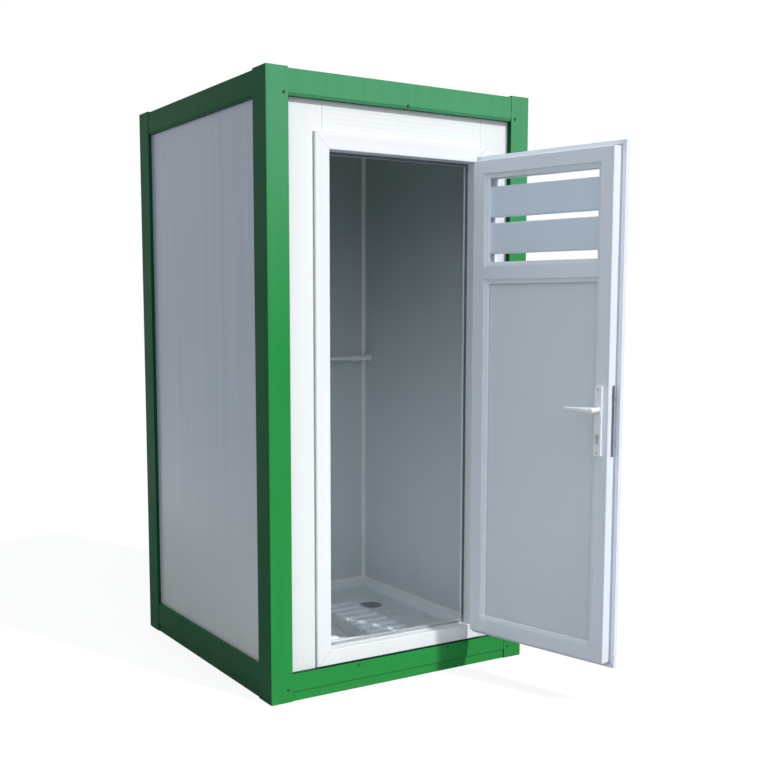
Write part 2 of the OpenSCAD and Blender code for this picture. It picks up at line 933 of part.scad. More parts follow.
// Door leaf: everything on it is drawn shut and swung open about the hinge axis
module swung() {
    translate([hinge_x, hinge_y, 0]) rotate([0, 0, open_angle])
        translate([-hinge_x, -hinge_y, 0]) children();
}

sash_section = bevelled([
    [0, 0],
    [sash_w + bead_w, 0],
    [sash_w + bead_w, outer_lip_t],
    [sash_w, outer_lip_t],
    [sash_w, leaf_t],
    [leaf_lip, leaf_t],
    [leaf_lip, flange_t],
    [0, flange_t]
], [profile_bevel, profile_bevel, 0, 0, 0, profile_bevel, 0, 0]);
sash_reach = sash_w + bead_w + cut_extra;

module sash_side(turn, offset, length) {
    translate([0, leaf_y, door_mid_z]) rotate([0, turn, 0])
        translate([offset, 0, 0]) ring_bar(sash_section, length, sash_reach);
}

module sash_hinge_stile() {
    color("#e9edf1") swung() sash_side(0, leaf_half_w, 2 * leaf_half_h);
}

module sash_rails() {
    color("#e9edf1") swung() {
        sash_side(90, leaf_half_h, 2 * leaf_half_w);
        sash_side(-90, leaf_half_h, 2 * leaf_half_w);
    }
}

module sash_latch_stile() {
    color("#e9edf1") swung() difference() {
        sash_side(180, leaf_half_w, 2 * leaf_half_h);
        translate([edge_x - cut_extra, bolt_y - faceplate_w / 2 - fit_gap,
            plate_mid_z - faceplate_h / 2 - fit_gap])
            cube([faceplate_t + cut_extra, faceplate_w + 2 * fit_gap, faceplate_h + 2 * fit_gap]);
        translate([edge_x, bolt_y - case_t / 2 - fit_gap, case_low - fit_gap])
            cube([faceplate_t + case_depth + fit_gap, case_t + 2 * fit_gap,
                case_high - case_low + 2 * fit_gap]);
        through_leaf(lever_z) cylinder(r = hub_r + 1, h = 4 * leaf_t, center = true);
        through_leaf(cylinder_z) cylinder_outline(4 * leaf_t, 0.5);
    }
}

// Places its children on the lock's axis, with their own Z running through the leaf
module through_leaf(z) {
    translate([lock_x, leaf_y + leaf_t / 2, z]) rotate([90, 0, 0]) children();
}

// The profile cylinder: a round part with a flag below it
module cylinder_outline(length, grow) {
    linear_extrude(length, center = true) {
        circle(cylinder_r + grow);
        translate([-flag_w / 2 - grow, -flag_h + flag_w / 2])
            square([flag_w + 2 * grow, flag_h - flag_w / 2]);
        translate([0, -flag_h + flag_w / 2]) circle(flag_w / 2 + grow);
    }
}

module mid_rail() {
    lip_half = bay_half_w - bead_w - mitre_gap;
    body_half = bay_half_w - mitre_gap;
    color("#e9edf1") swung() {
        slab(-lip_half, lip_half, leaf_y, leaf_y + outer_lip_t,
            mid_rail_z - bead_w, mid_rail_top + bead_w);
        slab(-body_half, body_half, leaf_y + outer_lip_t, leaf_y + leaf_t,
            mid_rail_z, mid_rail_top);
    }
}

// A flat slat with rounded long edges
module slat(z) {
    half = bay_half_w - infill_gap;
    edge_r = 5;
    translate([0, leaf_y + infill_b, z]) rotate([90, 0, 90])
        linear_extrude(2 * half, center = true) union() {
            translate([edge_r, 0]) square([infill_t - 2 * edge_r, slat_h]);
            translate([0, edge_r]) square([infill_t, slat_h - 2 * edge_r]);
            for (x = [edge_r, infill_t - edge_r], y = [edge_r, slat_h - edge_r])
                translate([x, y]) circle(edge_r);
        }
}

module louvre_slats() {
    color("#dde3e8") swung() {
        slat(louvre_low + slat_end_gap);
        slat(louvre_low + slat_end_gap + slat_h + slat_gap);
    }
}

module door_panel() {
    half = bay_half_w - infill_gap;
    color("#d5dbe0") swung()
        slab(-half, half, leaf_y + infill_b, leaf_y + bead_b,
            bay_bottom + infill_gap, mid_rail_z - infill_gap);
}

bead_section = [
    [0, bead_b],
    [bead_w, bead_b],
    [bead_w, leaf_t - bead_fall],
    [0, leaf_t]
];

// Four mitred beads round a bay between two heights
module bead_ring(low, high) {
    mid = (low + high) / 2;
    tall = high - low;
    wide = 2 * bay_half_w;
    translate([0, leaf_y, mid]) {
        for (turn = [0, 180]) rotate([0, turn, 0])
            translate([bay_half_w, 0, 0]) ring_bar(bead_section, tall, bead_w);
        for (turn = [-90, 90]) rotate([0, turn, 0])
            translate([tall / 2, 0, 0]) ring_bar(bead_section, wide, bead_w);
    }
}

module glazing_beads() {
    color("#f2f5f7") swung() {
        bead_ring(bay_bottom, mid_rail_z);
        bead_ring(mid_rail_top, bay_top);
    }
}

// Hinges
hinge_spread = leaf_half_h - hinge_end;
hinge_levels = [door_mid_z - hinge_spread, door_mid_z, door_mid_z + hinge_spread];
knuckle_gap = 0.3;
pin_half = knuckle_h / 2 + knuckle_gap + outer_knuckle_h;
plate_clear = knuckle_r + 1;

module hinge_pin_bore() {
    translate([hinge_x, hinge_y, -pin_half - cut_extra])
        cylinder(r = pin_r + pin_play, h = 2 * (pin_half + cut_extra));
}

module hinge_frame_leaf() {
    strap_x = hinge_x + 2;
    difference() {
        union() {
            for (z = [-pin_half, knuckle_h / 2 + knuckle_gap]) {
                translate([hinge_x, hinge_y, z]) cylinder(r = knuckle_r, h = outer_knuckle_h);
                slab(strap_x, hinge_x + knuckle_r, hinge_y, frame_y, z, z + outer_knuckle_h);
            }
            slab(strap_x, strap_x + hinge_plate_w, frame_y - hinge_plate_t, frame_y,
                -pin_half, pin_half);
        }
        hinge_pin_bore();
    }
}

module hinge_frame_leaves() {
    color("#f4f6f7") for (z = hinge_levels) translate([0, 0, z]) hinge_frame_leaf();
}

module hinge_sash_leaf() {
    difference() {
        union() {
            translate([hinge_x, hinge_y, -knuckle_h / 2]) cylinder(r = knuckle_r, h = knuckle_h);
            slab(hinge_x - plate_clear - 2, hinge_x - pin_r, leaf_y - hinge_plate_t, leaf_y,
                -knuckle_h / 2, knuckle_h / 2);
            slab(hinge_x - plate_clear - hinge_plate_w, hinge_x - plate_clear,
                leaf_y - hinge_plate_t, leaf_y, -pin_half, pin_half);
        }
        hinge_pin_bore();
    }
}

module hinge_sash_leaves() {
    color("#f4f6f7") swung() for (z = hinge_levels) translate([0, 0, z]) hinge_sash_leaf();
}

module hinge_pins() {
    head_r = pin_r + 2.5;
    head_t = 3;
    color("#b8bcc0") for (z = hinge_levels) translate([hinge_x, hinge_y, z]) {
        translate([0, 0, -pin_half]) cylinder(r = pin_r, h = 2 * pin_half);
        for (side = [0, 1]) mirror([0, 0, side]) translate([0, 0, pin_half])
            cylinder(r = head_r, h = head_t);
    }
}

// Lock
module handle_plate_outline() {
    corner_r = 4;
    for (x = [-1, 1], y = [-1, 1])
        translate([x * (plate_w / 2 - corner_r), y * (plate_h / 2 - corner_r)]) circle(corner_r);
    square([plate_w - 2 * corner_r, plate_h], center = true);
    square([plate_w, plate_h - 2 * corner_r], center = true);
}

// A plate stands on each face of the leaf, a little narrower at its front
module handle_plates() {
    step = 1.5;
    color("#eef0f1") swung() difference() {
        for (side = [0, 1])
            translate([lock_x, leaf_y + side * leaf_t, plate_mid_z]) rotate([90, 0, 0])
                mirror([0, 0, side]) {
                    linear_extrude(plate_t - step) handle_plate_outline();
                    linear_extrude(plate_t) intersection() {
                        translate([step, step]) handle_plate_outline();
                        translate([-step, -step]) handle_plate_outline();
                    }
                }
        through_leaf(lever_z) cylinder(r = neck_r + fit_gap, h = 4 * leaf_t, center = true);
        through_leaf(cylinder_z) cylinder_outline(4 * leaf_t, fit_gap);
    }
}

module lock_case() {
    inside = 2 * case_wall;
    color("#b9bdc1") swung() difference() {
        union() {
            slab(edge_x, edge_x + faceplate_t, bolt_y - faceplate_w / 2, bolt_y + faceplate_w / 2,
                plate_mid_z - faceplate_h / 2, plate_mid_z + faceplate_h / 2);
            slab(edge_x + faceplate_t, edge_x + faceplate_t + case_depth,
                bolt_y - case_t / 2, bolt_y + case_t / 2, case_low, case_high);
        }
        slab(edge_x + faceplate_t, edge_x + faceplate_t + case_depth - case_wall,
            bolt_y - (case_t - inside) / 2, bolt_y + (case_t - inside) / 2,
            case_low + case_wall, case_high - case_wall);
        through_leaf(lever_z) cylinder(r = hub_r + fine_gap, h = 4 * leaf_t, center = true);
        through_leaf(cylinder_z) cylinder_outline(4 * leaf_t, fit_gap);
        bolt_window(latch_z, latch_h, latch_w);
        bolt_window(dead_z, dead_h, dead_w);
    }
}

module bolt_window(z, h, w) {
    slab(edge_x - cut_extra, edge_x + faceplate_t + cut_extra,
        bolt_y - w / 2 - fine_gap, bolt_y + w / 2 + fine_gap,
        z - h / 2 - fine_gap, z + h / 2 + fine_gap);
}

// Latch bolt with its sloped nose, and a flat tail inside the case
module latch_bolt() {
    tail_h = 6;
    nose = latch_throw;
    color("#d0d3d6") swung() {
        translate([edge_x, bolt_y, latch_z - latch_h / 2]) linear_extrude(latch_h) polygon([
            [-nose, latch_w / 2],
            [-nose, latch_w / 2 - 3],
            [-2, -latch_w / 2],
            [faceplate_t, -latch_w / 2],
            [faceplate_t, latch_w / 2]
        ]);
        slab(edge_x + faceplate_t, edge_x + faceplate_t + case_depth - latch_throw - 4,
            bolt_y - 3, bolt_y + 3, latch_z - tail_h / 2, latch_z + tail_h / 2);
    }
}

// Deadbolt, drawn back until it is flush with the faceplate
module deadbolt() {
    color("#d0d3d6") swung()
        slab(edge_x, edge_x + faceplate_t + case_depth - 8, bolt_y - dead_w / 2,
            bolt_y + dead_w / 2, dead_z - dead_h / 2, dead_z + dead_h / 2);
}

cylinder_len = leaf_t + 2 * plate_t + 3;

module cylinder_body() {
    color("#c9b27a") swung() through_leaf(cylinder_z) difference() {
        cylinder_outline(cylinder_len, 0);
        cylinder(r = plug_r + pin_play, h = cylinder_len + 2 * cut_extra, center = true);
    }
}

// Key plug with a keyway in each end
module cylinder_plug() {
    key_w = 2.2;
    key_h = 8.5;
    key_deep = 9;
    color("#c9b27a") swung() through_leaf(cylinder_z) difference() {
        cylinder(r = plug_r, h = cylinder_len, center = true);
        for (side = [-1, 1])
            translate([-key_w / 2, -key_h / 2 - 1, side * (cylinder_len / 2 - key_deep / 2 + 0.5)
                - key_deep / 2])
                cube([key_w, key_h, key_deep + 1]);
    }
}

// One lever, standing on the face at z = 0 and pointing along +x
module lever() {
    grip_z = plate_t + lever_reach;
    cylinder(r = neck_r, h = grip_z);
    hull() {
        translate([0, 0, grip_z]) scale([1, 1.25, 0.8]) sphere(neck_r, $fn = 32);
        translate([0.3 * lever_len, 0, grip_z + 5]) scale([1, 1.05, 0.62]) sphere(neck_r, $fn = 32);
    }
    hull() {
        translate([0.3 * lever_len, 0, grip_z + 5]) scale([1, 1.05, 0.62]) sphere(neck_r, $fn = 32);
        translate([lever_len - 14, 2, grip_z + 1]) scale([1, 0.62, 0.45]) sphere(neck_r, $fn = 32);
    }
}

module door_levers() {
    color("#f0f2f3") swung()
        for (side = [0, 1])
            translate([lock_x, leaf_y + side * leaf_t, lever_z]) rotate([90, 0, 0])
                mirror([0, 0, side]) lever_on_plate();
}

// The lever's neck leaves room for the spindle in its end
module lever_on_plate() {
    difference() {
        lever();
        translate([-spindle_s / 2 - fine_gap, -spindle_s / 2 - fine_gap, -cut_extra])
            cube([spindle_s + 2 * fine_gap, spindle_s + 2 * fine_gap, spindle_in + cut_extra]);
    }
}

spindle_in = plate_t + 18;

// Square spindle with the round follower that draws the latch back
module spindle() {
    color("#a8acb0") swung() through_leaf(lever_z) {
        cube([spindle_s, spindle_s, leaf_t + 2 * spindle_in - 2 * fit_gap], center = true);
        translate([0, 0, leaf_t / 2 - bolt_b - (case_t - 4) / 2]) cylinder(r = hub_r, h = case_t - 4);
    }
}

// Tray
module tray_body() {
    half_x = side_in - deck_gap;
    half_y = front_in - deck_gap;
    difference() {
        slab(-half_x, half_x, -half_y, half_y, deck_top, rim_top);
        hull() {
            slab(-half_x + rim_w, half_x - rim_w, -half_y + rim_w, half_y - rim_w,
                rim_top, rim_top + cut_extra);
            slab(-half_x + rim_w + rim_slope, half_x - rim_w - rim_slope,
                -half_y + rim_w + rim_slope, half_y - rim_w - rim_slope,
                tray_floor, tray_floor + cut_extra);
        }
    }
}

pad_margin = 16;
pad_half_y = (rib_count - 1) * rib_pitch / 2 + rib_w / 2 + pad_margin;
pad_corner = 30;

// Raised zone with the standing pads, with rounded corners
module pad_outline() {
    x = rib_end_x + pad_margin - pad_corner;
    y = pad_half_y - pad_corner;
    for (i = [-1, 1], j = [-1, 1]) translate([i * x, j * y]) circle(pad_corner);
    square([2 * (x + pad_corner), 2 * y], center = true);
    square([2 * x, 2 * (y + pad_corner)], center = true);
}

// Half width of the well beside a rib, so that each rib's nose hangs over its edge
function well_half(y) =
    y < -well_front_y ? sqrt(max(0, well_front_r ^ 2 - (y + well_front_y) ^ 2))
    : y > well_rear_y ? sqrt(max(0, well_rear_r ^ 2 - (y - well_rear_y) ^ 2))
    : well_front_r + (well_rear_r - well_front_r) * (y + well_front_y) / well_span;

nose_lift = 1;
nose_over = 7;

// One rib: its crown is rounded across, and its inner end turns down into the well
module rib(y) {
    x0 = max(well_half(y), well_front_r) - nose_over;
    top = pad_top + rib_h;
    low = deck_top + nose_lift;
    crown_r = (rib_w ^ 2 / 4 + (2 * rib_h) ^ 2) / (4 * rib_h);
    intersection() {
        translate([0, y, 0]) rotate([90, 0, 0]) linear_extrude(rib_w, center = true) polygon(
            bevelled([
                [x0, low],
                [x0 + nose_over + 2, low],
                [x0 + nose_over + 2, pad_top - 2],
                [rib_end_x, pad_top - 2],
                [rib_end_x, top],
                [x0, top]
            ], [nose_over / 2, 0, 0, 0, rib_h * 0.8, rib_h])
        );
        translate([0, y, top - crown_r]) rotate([0, 90, 0]) cylinder(r = crown_r, h = cabin_w);
    }
}

module shower_tray() {
    color("#f1f4f5") {
        difference() {
            union() {
                tray_body();
                translate([0, 0, deck_top]) linear_extrude(pad_top - deck_top) pad_outline();
                translate([0, 0, well_ground_gap])
                    linear_extrude(pad_top - well_ground_gap) well_outline(well_wall);
                translate([0, outlet_y, 2]) cylinder(r = collar_r, h = well_ground_gap);
            }
            translate([0, 0, well_floor]) linear_extrude(rim_top) well_outline(0);
            translate([0, outlet_y, -cut_extra]) cylinder(r = outlet_r, h = rim_top);
            translate([waste_x, waste_y, grate_z]) cylinder(r = grate_r + 1, h = rim_h);
            translate([waste_x, waste_y, grate_z + grate_t])
                cylinder(
                    r1 = grate_r + 1,
                    r2 = grate_r + 1 + dish_w * (1 + fine_gap / dish_depth),
                    h = dish_depth + fine_gap
                );
            translate([waste_x, waste_y, deck_top - cut_extra]) cylinder(r = grate_r - 8, h = rim_h);
        }
        for (side = [0, 1], i = [0 : rib_count - 1])
            mirror([side, 0, 0]) rib((i - (rib_count - 1) / 2) * rib_pitch);
    }
}

// Waste
module waste_grate() {
    slot = 6;
    color("#4a4f53") translate([waste_x, waste_y, grate_z]) difference() {
        cylinder(r = grate_r, h = grate_t);
        for (row = [-2 : 2])
            let (half = sqrt(grate_r ^ 2 - (abs(row) * 15 + 4) ^ 2) - 8)
            translate([-half, row * 15 - slot / 2, -cut_extra])
                cube([2 * half, slot, grate_t + 2 * cut_extra]);
    }
}

module waste_trap() {
    wall = 3;
    floor_z = steel_t + 0.5;
    socket_r = waste_pipe_r + fine_gap + socket_wall;
    color("#3b3f42") difference() {
        union() {
            translate([waste_x, waste_y, floor_z]) cylinder(r = trap_r, h = deck_top - floor_z);
            translate([waste_x, waste_y, waste_pipe_z]) rotate([-90, 0, 0])
                cylinder(r = socket_r, h = trap_r + 28);
        }
        translate([waste_x, waste_y, floor_z + wall]) cylinder(r = trap_r - wall, h = deck_top);
        translate([waste_x, waste_y, waste_pipe_z]) rotate([-90, 0, 0]) {
            cylinder(r = waste_pipe_r - waste_pipe_wall, h = cabin_d);
            translate([0, 0, trap_r + 4]) cylinder(r = waste_pipe_r + fine_gap, h = cabin_d);
        }
    }
}

module waste_pipe() {
    start = trap_r + 4;
    wall_out = half_d - waste_y;
    collar_t = 4;
    color("#8d9296") translate([waste_x, waste_y, waste_pipe_z]) rotate([-90, 0, 0])
        difference() {
            union() {
                translate([0, 0, start])
                    cylinder(r = waste_pipe_r, h = wall_out - start + collar_t + waste_stub);
                translate([0, 0, wall_out]) cylinder(r = waste_pipe_r + 4, h = collar_t);
            }
            translate([0, 0, start - cut_extra])
                cylinder(r = waste_pipe_r - waste_pipe_wall, h = cabin_d);
        }
}

// Water
valve_end = valve_len;
inlet_in = 14;
pipe_end = side_in - inlet_in - 1;

module along_pipe(x) {
    translate([x, pipe_y, pipe_z]) rotate([0, 90, 0]) children();
}

module supply_pipe() {
    color("#eceff0") along_pipe(valve_end - 8) difference() {
        cylinder(r = pipe_r, h = pipe_end - valve_end + 8);
        translate([0, 0, -cut_extra]) cylinder(r = pipe_r - 3, h = cabin_w);
    }
}

module pipe_fittings() {
    color("#f2f4f5") {
        along_pipe(side_in - coupling_off - coupling_len / 2) difference() {
            fitting_blank(coupling_len);
            translate([0, 0, -cut_extra])
                cylinder(r = pipe_r + fine_gap, h = coupling_len + 2 * cut_extra);
        }
        along_pipe(side_in - wall_fitting_len) difference() {
            fitting_blank(wall_fitting_len);
            translate([0, 0, -cut_extra])
                cylinder(r = pipe_r + fine_gap, h = wall_fitting_len);
            translate([0, 0, wall_fitting_len - inlet_in])
                cylinder(r = inlet_r + fine_gap, h = inlet_in + cut_extra);
        }
    }
}

// A turned fitting with a thicker ring at each end
module fitting_blank(length) {
    ring = 6;
    cylinder(r = fitting_r - 1.5, h = length);
    for (z = [0, length - ring]) translate([0, 0, z]) cylinder(r = fitting_r, h = ring);
}

// Threaded inlet through the right wall, held by a nut outside
module water_inlet() {
    bore = inlet_r - 3;
    start = side_in - inlet_in;
    color("#c9a54a") along_pipe(start) difference() {
        union() {
            cylinder(r = inlet_r, h = nut_end - start + inlet_stub);
            translate([0, 0, side_face - start]) cylinder(r = nut_r, h = nut_end - side_face, $fn = 6);
        }
        translate([0, 0, -cut_extra]) cylinder(r = bore, h = cabin_w);
    }
}

clip_x = [90, 250];
clip_w = 14;
riser_clip_low = 285;
riser_clip_drop = 160;
riser_clip_z = [pipe_z + riser_clip_low, arm_z - riser_clip_drop];

// A pipe clip: a stem from the wall with a ring round the pipe
module pipe_clip(r) {
    wall = 3;
    difference() {
        union() {
            cylinder(r = r + wall, h = clip_w, center = true);
            translate([-6, 0, -clip_w / 2]) cube([12, pipe_off, clip_w]);
            translate([-14, pipe_off - 4, -clip_w / 2]) cube([28, 4, clip_w]);
        }
        cylinder(r = r + fine_gap, h = clip_w + 2 * cut_extra, center = true);
    }
}

module pipe_clips() {
    color("#e6e9ea") {
        for (x = clip_x) translate([x, pipe_y, pipe_z]) rotate([0, 90, 0]) pipe_clip(pipe_r);
        for (z = riser_clip_z) translate([0, pipe_y, z]) pipe_clip(riser_r);
    }
}

stem_r = 4;

module shower_valve() {
    color("#c7ccd0") difference() {
        union() {
            along_pipe(-valve_len) cylinder(r = valve_r, h = 2 * valve_len);
            translate([0, pipe_y, pipe_z]) cylinder(r = valve_r - 2, h = valve_len + 8);
            translate([0, pipe_y, pipe_z]) sphere(r = valve_r + 3);
            translate([0, pipe_y, pipe_z]) rotate([90, 0, 0]) cylinder(r = valve_r - 2, h = bonnet_len);
            translate([0, pipe_y, pipe_z]) rotate([-90, 0, 0]) cylinder(r = 8, h = pipe_off);
            translate([0, front_in - 5, pipe_z]) rotate([-90, 0, 0]) cylinder(r = 22, h = 5);
        }
        along_pipe(valve_len - 8) cylinder(r = pipe_r + fine_gap, h = valve_len);
        translate([0, pipe_y, pipe_z + valve_len - 2]) cylinder(r = riser_r + fine_gap, h = valve_len);
        translate([0, pipe_y, pipe_z]) rotate([90, 0, 0]) translate([0, 0, bonnet_len - 20])
            cylinder(r = stem_r + pin_play, h = bonnet_len);
    }
}

// Cross handle on the valve's stem
module valve_handle() {
    hub = 11;
    color("#d3d7da") translate([0, pipe_y, pipe_z]) rotate([90, 0, 0]) {
        translate([0, 0, bonnet_len - 19]) cylinder(r = stem_r, h = 21);
        translate([0, 0, bonnet_len + 1]) cylinder(r = hub, h = 16);
        for (turn = [0 : 90 : 270]) rotate([0, 0, turn])
            translate([0, 0, bonnet_len + 9]) rotate([0, 90, 0]) {
                cylinder(r = 4.5, h = 26);
                translate([0, 0, 26]) sphere(r = 5.5);
            }
    }
}

// Riser, its bend, the arm and the ball that carries the head
module riser_pipe() {
    low = pipe_z + valve_len - 2;
    color("#d3d7da") {
        translate([0, pipe_y, low]) cylinder(r = riser_r, h = arm_z - riser_bend - low);
        translate([0, pipe_y - riser_bend, arm_z - riser_bend]) rotate([90, 0, 90])
            rotate_extrude(angle = 90) translate([riser_bend, 0]) circle(riser_r);
        translate([0, pipe_y - riser_bend, arm_z]) rotate([90, 0, 0])
            cylinder(r = riser_r, h = arm_reach - 2 * riser_bend);
        translate([0, arm_y + riser_bend, arm_z - riser_bend]) rotate([90, 0, -90])
            rotate_extrude(angle = 90) translate([riser_bend, 0]) circle(riser_r);
        translate([0, arm_y, ball_z]) cylinder(r = riser_r - 3, h = arm_z - riser_bend - ball_z);
        translate([0, arm_y, ball_z]) sphere(r = ball_r);
    }
}

ball_z = arm_z - riser_bend - 22;

// Shower head: a socket round the ball, a flared shell and a nozzle plate
module shower_head() {
    socket_r = ball_r + 3.5;
    drop = 46;
    rim = 9;
    dome = [
        [0, -drop],
        [head_r - 3, -drop],
        [head_r, -drop + 3],
        [head_r, -drop + rim],
        [0.7 * head_r, -drop + rim + 9],
        [socket_r, -ball_r - 4],
        [socket_r, 0],
        [socket_r - 2, 4],
        [0, 4]
    ];
    color("#d3d7da") translate([0, arm_y, ball_z]) difference() {
        rotate_extrude() polygon(dome);
        sphere(r = ball_r + pin_play);
        cylinder(r = ball_r - 1, h = drop);
        for (ring = [1 : 3], i = [0 : 6 * ring - 1]) rotate([0, 0, i * 360 / (6 * ring)])
            translate([ring * head_r / 4, 0, -drop - cut_extra]) cylinder(r = 1.5, h = 3 + cut_extra);
    }
}

corner_posts_front();
corner_posts_rear();
top_beam_front();
top_beam_rear();
top_beams_side();
bottom_beam_front();
bottom_beam_rear();
bottom_beams_side();
corner_brackets();
frame_screws();
floor_joists();
underfloor_sheet();
floor_deck();
roof_panel();
roof_sheet();
side_panel_left();
side_panel_right();
rear_panel();
front_panel_left();
front_panel_right();
over_door_panel();
sill_panel();
edge_trims();
tray_trims();
door_frame_head();
door_frame_sill();
door_frame_hinge_jamb();
door_frame_latch_jamb();
frame_gasket();
strike_plate();
hinge_frame_leaves();
hinge_pins();
shower_tray();
waste_grate();
waste_trap();
waste_pipe();
supply_pipe();
pipe_fittings();
water_inlet();
pipe_clips();
shower_valve();
riser_pipe();
valve_handle();
shower_head();
sash_hinge_stile();
sash_latch_stile();
sash_rails();
mid_rail();
louvre_slats();
door_panel();
glazing_beads();
hinge_sash_leaves();
handle_plates();
lock_case();
cylinder_body();
door_levers();
spindle();
latch_bolt();
deadbolt();
cylinder_plug();
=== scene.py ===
# %% [markdown]
# # A portable shower cabin, dressed in Blender
# The solids of the cabin are already built and packed as one frame, in metres, with Z up and the door
# wall at -Y. This lesson gives them their finishes, adds the small pieces that a solid model leaves out,
# and lights them like a product picture. Loading the frame comes first, because every later piece is
# placed by what the frame says.

# %% Load the frame
import json
import math
import bmesh
import bpy
from mathutils import Matrix, Vector


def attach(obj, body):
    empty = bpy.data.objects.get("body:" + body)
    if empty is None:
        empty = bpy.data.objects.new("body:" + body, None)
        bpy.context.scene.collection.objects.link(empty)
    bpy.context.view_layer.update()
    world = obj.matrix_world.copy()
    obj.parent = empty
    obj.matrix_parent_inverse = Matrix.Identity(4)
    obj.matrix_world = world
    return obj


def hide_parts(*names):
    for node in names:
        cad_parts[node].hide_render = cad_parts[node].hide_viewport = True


with open("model.json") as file:
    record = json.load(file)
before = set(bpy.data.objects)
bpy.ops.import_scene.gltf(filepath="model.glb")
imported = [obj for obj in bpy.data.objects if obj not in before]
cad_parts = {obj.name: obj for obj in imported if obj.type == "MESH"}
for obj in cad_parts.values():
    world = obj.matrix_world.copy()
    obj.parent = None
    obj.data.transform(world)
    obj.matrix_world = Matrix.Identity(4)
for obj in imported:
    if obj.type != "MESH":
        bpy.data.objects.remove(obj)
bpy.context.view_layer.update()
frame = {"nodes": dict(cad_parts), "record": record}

nodes = frame["nodes"]

# %% [markdown]
# ## The camera
# A picture of a box shows two walls and the height of the eye. The lens was worked out from the corners
# of the cabin: it stands left of the door wall, a little above lever height, and looks slightly down.
# The lens shift moves the picture's frame without turning the camera, so uprights lean as they should.
# The turn is built from three plain rotations, which is easier to read than a matrix of nine numbers.

# %% Camera
EYE = (-2.248, -4.031, 1.392)
LENS = 52.28
SHIFT_X, SHIFT_Y = -0.0141, 0.0672
TURN_RIGHT, LOOK_DOWN, LEAN = 32.676, 6.462, 0.165

scene = bpy.context.scene
lens = bpy.data.cameras.new("picture_lens")
lens.sensor_width = 36.0
lens.lens = LENS
lens.shift_x = SHIFT_X
lens.shift_y = SHIFT_Y
lens.clip_end = 60.0
camera = bpy.data.objects.new("picture_camera", lens)
scene.collection.objects.link(camera)
scene.camera = camera
camera.location = EYE
turn_right = Matrix.Rotation(math.radians(-TURN_RIGHT), 4, "Z")
look_level = Matrix.Rotation(math.radians(90.0 - LOOK_DOWN), 4, "X")
lean = Matrix.Rotation(math.radians(LEAN), 4, "Z")
camera.rotation_euler = (turn_right @ look_level @ lean).to_euler()
print("camera at", tuple(round(v, 3) for v in camera.location), "lens", lens.lens, "mm")

# %% [markdown]
# ## Nodes in few words
# The sky, the ground and all finishes are made of shader nodes. These helpers keep them short: each one
# adds a node, feeds its sockets and hands back the socket that carries the result. Colours are written
# as a screen shows them, from 0 to 255, and turned into the linear values that Blender works with.

# %% Node helpers
def node_tree(owner):
    owner.use_nodes = True
    owner.node_tree.nodes.clear()
    return owner.node_tree


def add(tree, kind, x=0, y=0, **values):
    node = tree.nodes.new(kind)
    node.location = (x, y)
    for key, value in values.items():
        setattr(node, key, value)
    return node


def link(tree, a, b):
    tree.links.new(a, b)


def feed(tree, socket, value):
    # A socket takes a plain value, or a link from the socket of another node
    if isinstance(value, bpy.types.NodeSocket):
        link(tree, value, socket)
    else:
        socket.default_value = value


def combine(tree, kind, a, b, x=0, y=0, clamp=False):
    node = add(tree, "ShaderNodeMath", x, y, operation=kind, use_clamp=clamp)
    feed(tree, node.inputs[0], a)
    feed(tree, node.inputs[1], b)
    return node.outputs[0]


def mixed_shaders(tree, factor, first, second, output):
    mix = add(tree, "ShaderNodeMixShader", 0)
    out = add(tree, output, 200)
    for socket, value in zip(mix.inputs, (factor, first, second)):
        link(tree, value, socket)
    link(tree, mix.outputs[0], out.inputs[0])


def srgb(r, g, b):
    def linear(c):
        return c / 255 / 12.92 if c <= 10.31 else ((c / 255 + 0.055) / 1.055) ** 2.4

    return (linear(r), linear(g), linear(b), 1.0)


WHITE = (1.0, 1.0, 1.0, 1.0)
print("helpers: node_tree, add, link, feed, combine, mixed_shaders, srgb")

# %% [markdown]
# ## Light and ground
# The cabin is lit as on a bright, hazy day. One light from the front and the right is small enough to
# lay the open leaf's shadow on the sill and the beam. A very broad light from the front and the left
# stands for the bright part of the sky: it reaches the floor of the room but not its ceiling, so the
# room gets darker upwards. A weaker one does the same for the back of the cabin. The camera and all
# reflections see the sky as white, while the light that it sheds is lower and a little blue; Light Path
# tells the two apart. The ground is plain and pale to the eye and keeps a soft shadow. It throws less
# light back than it seems to, so that the side in the shade stays darker than the door wall.

# %% World, lamps and ground
SKY_SHED, SKY_STRENGTH = (0.80, 0.90, 1.0, 1.0), 0.15
GROUND_SHED, GROUND_SHOWN = (0.31, 0.32, 0.34, 1.0), (0.9, 0.9, 0.9, 1.0)
GLOW, GLOW_SHARE = 1.06, 0.8

scene.view_settings.view_transform = "Standard"

sky = bpy.data.worlds.new("hazy_sky")
scene.world = sky
tree = node_tree(sky)
paths = add(tree, "ShaderNodeLightPath", -700).outputs
seen = combine(tree, "MAXIMUM", paths["Is Camera Ray"], paths["Is Glossy Ray"], -500)
seen = combine(tree, "MAXIMUM", seen, paths["Is Transmission Ray"], -350)
shed = add(tree, "ShaderNodeBackground", -200, 100)
shed.inputs["Color"].default_value = SKY_SHED
shed.inputs["Strength"].default_value = SKY_STRENGTH
shown = add(tree, "ShaderNodeBackground", -200, -100)
shown.inputs["Color"].default_value = WHITE
shown.inputs["Strength"].default_value = 1.0
mixed_shaders(tree, seen, shed.outputs[0], shown.outputs[0], "ShaderNodeOutputWorld")


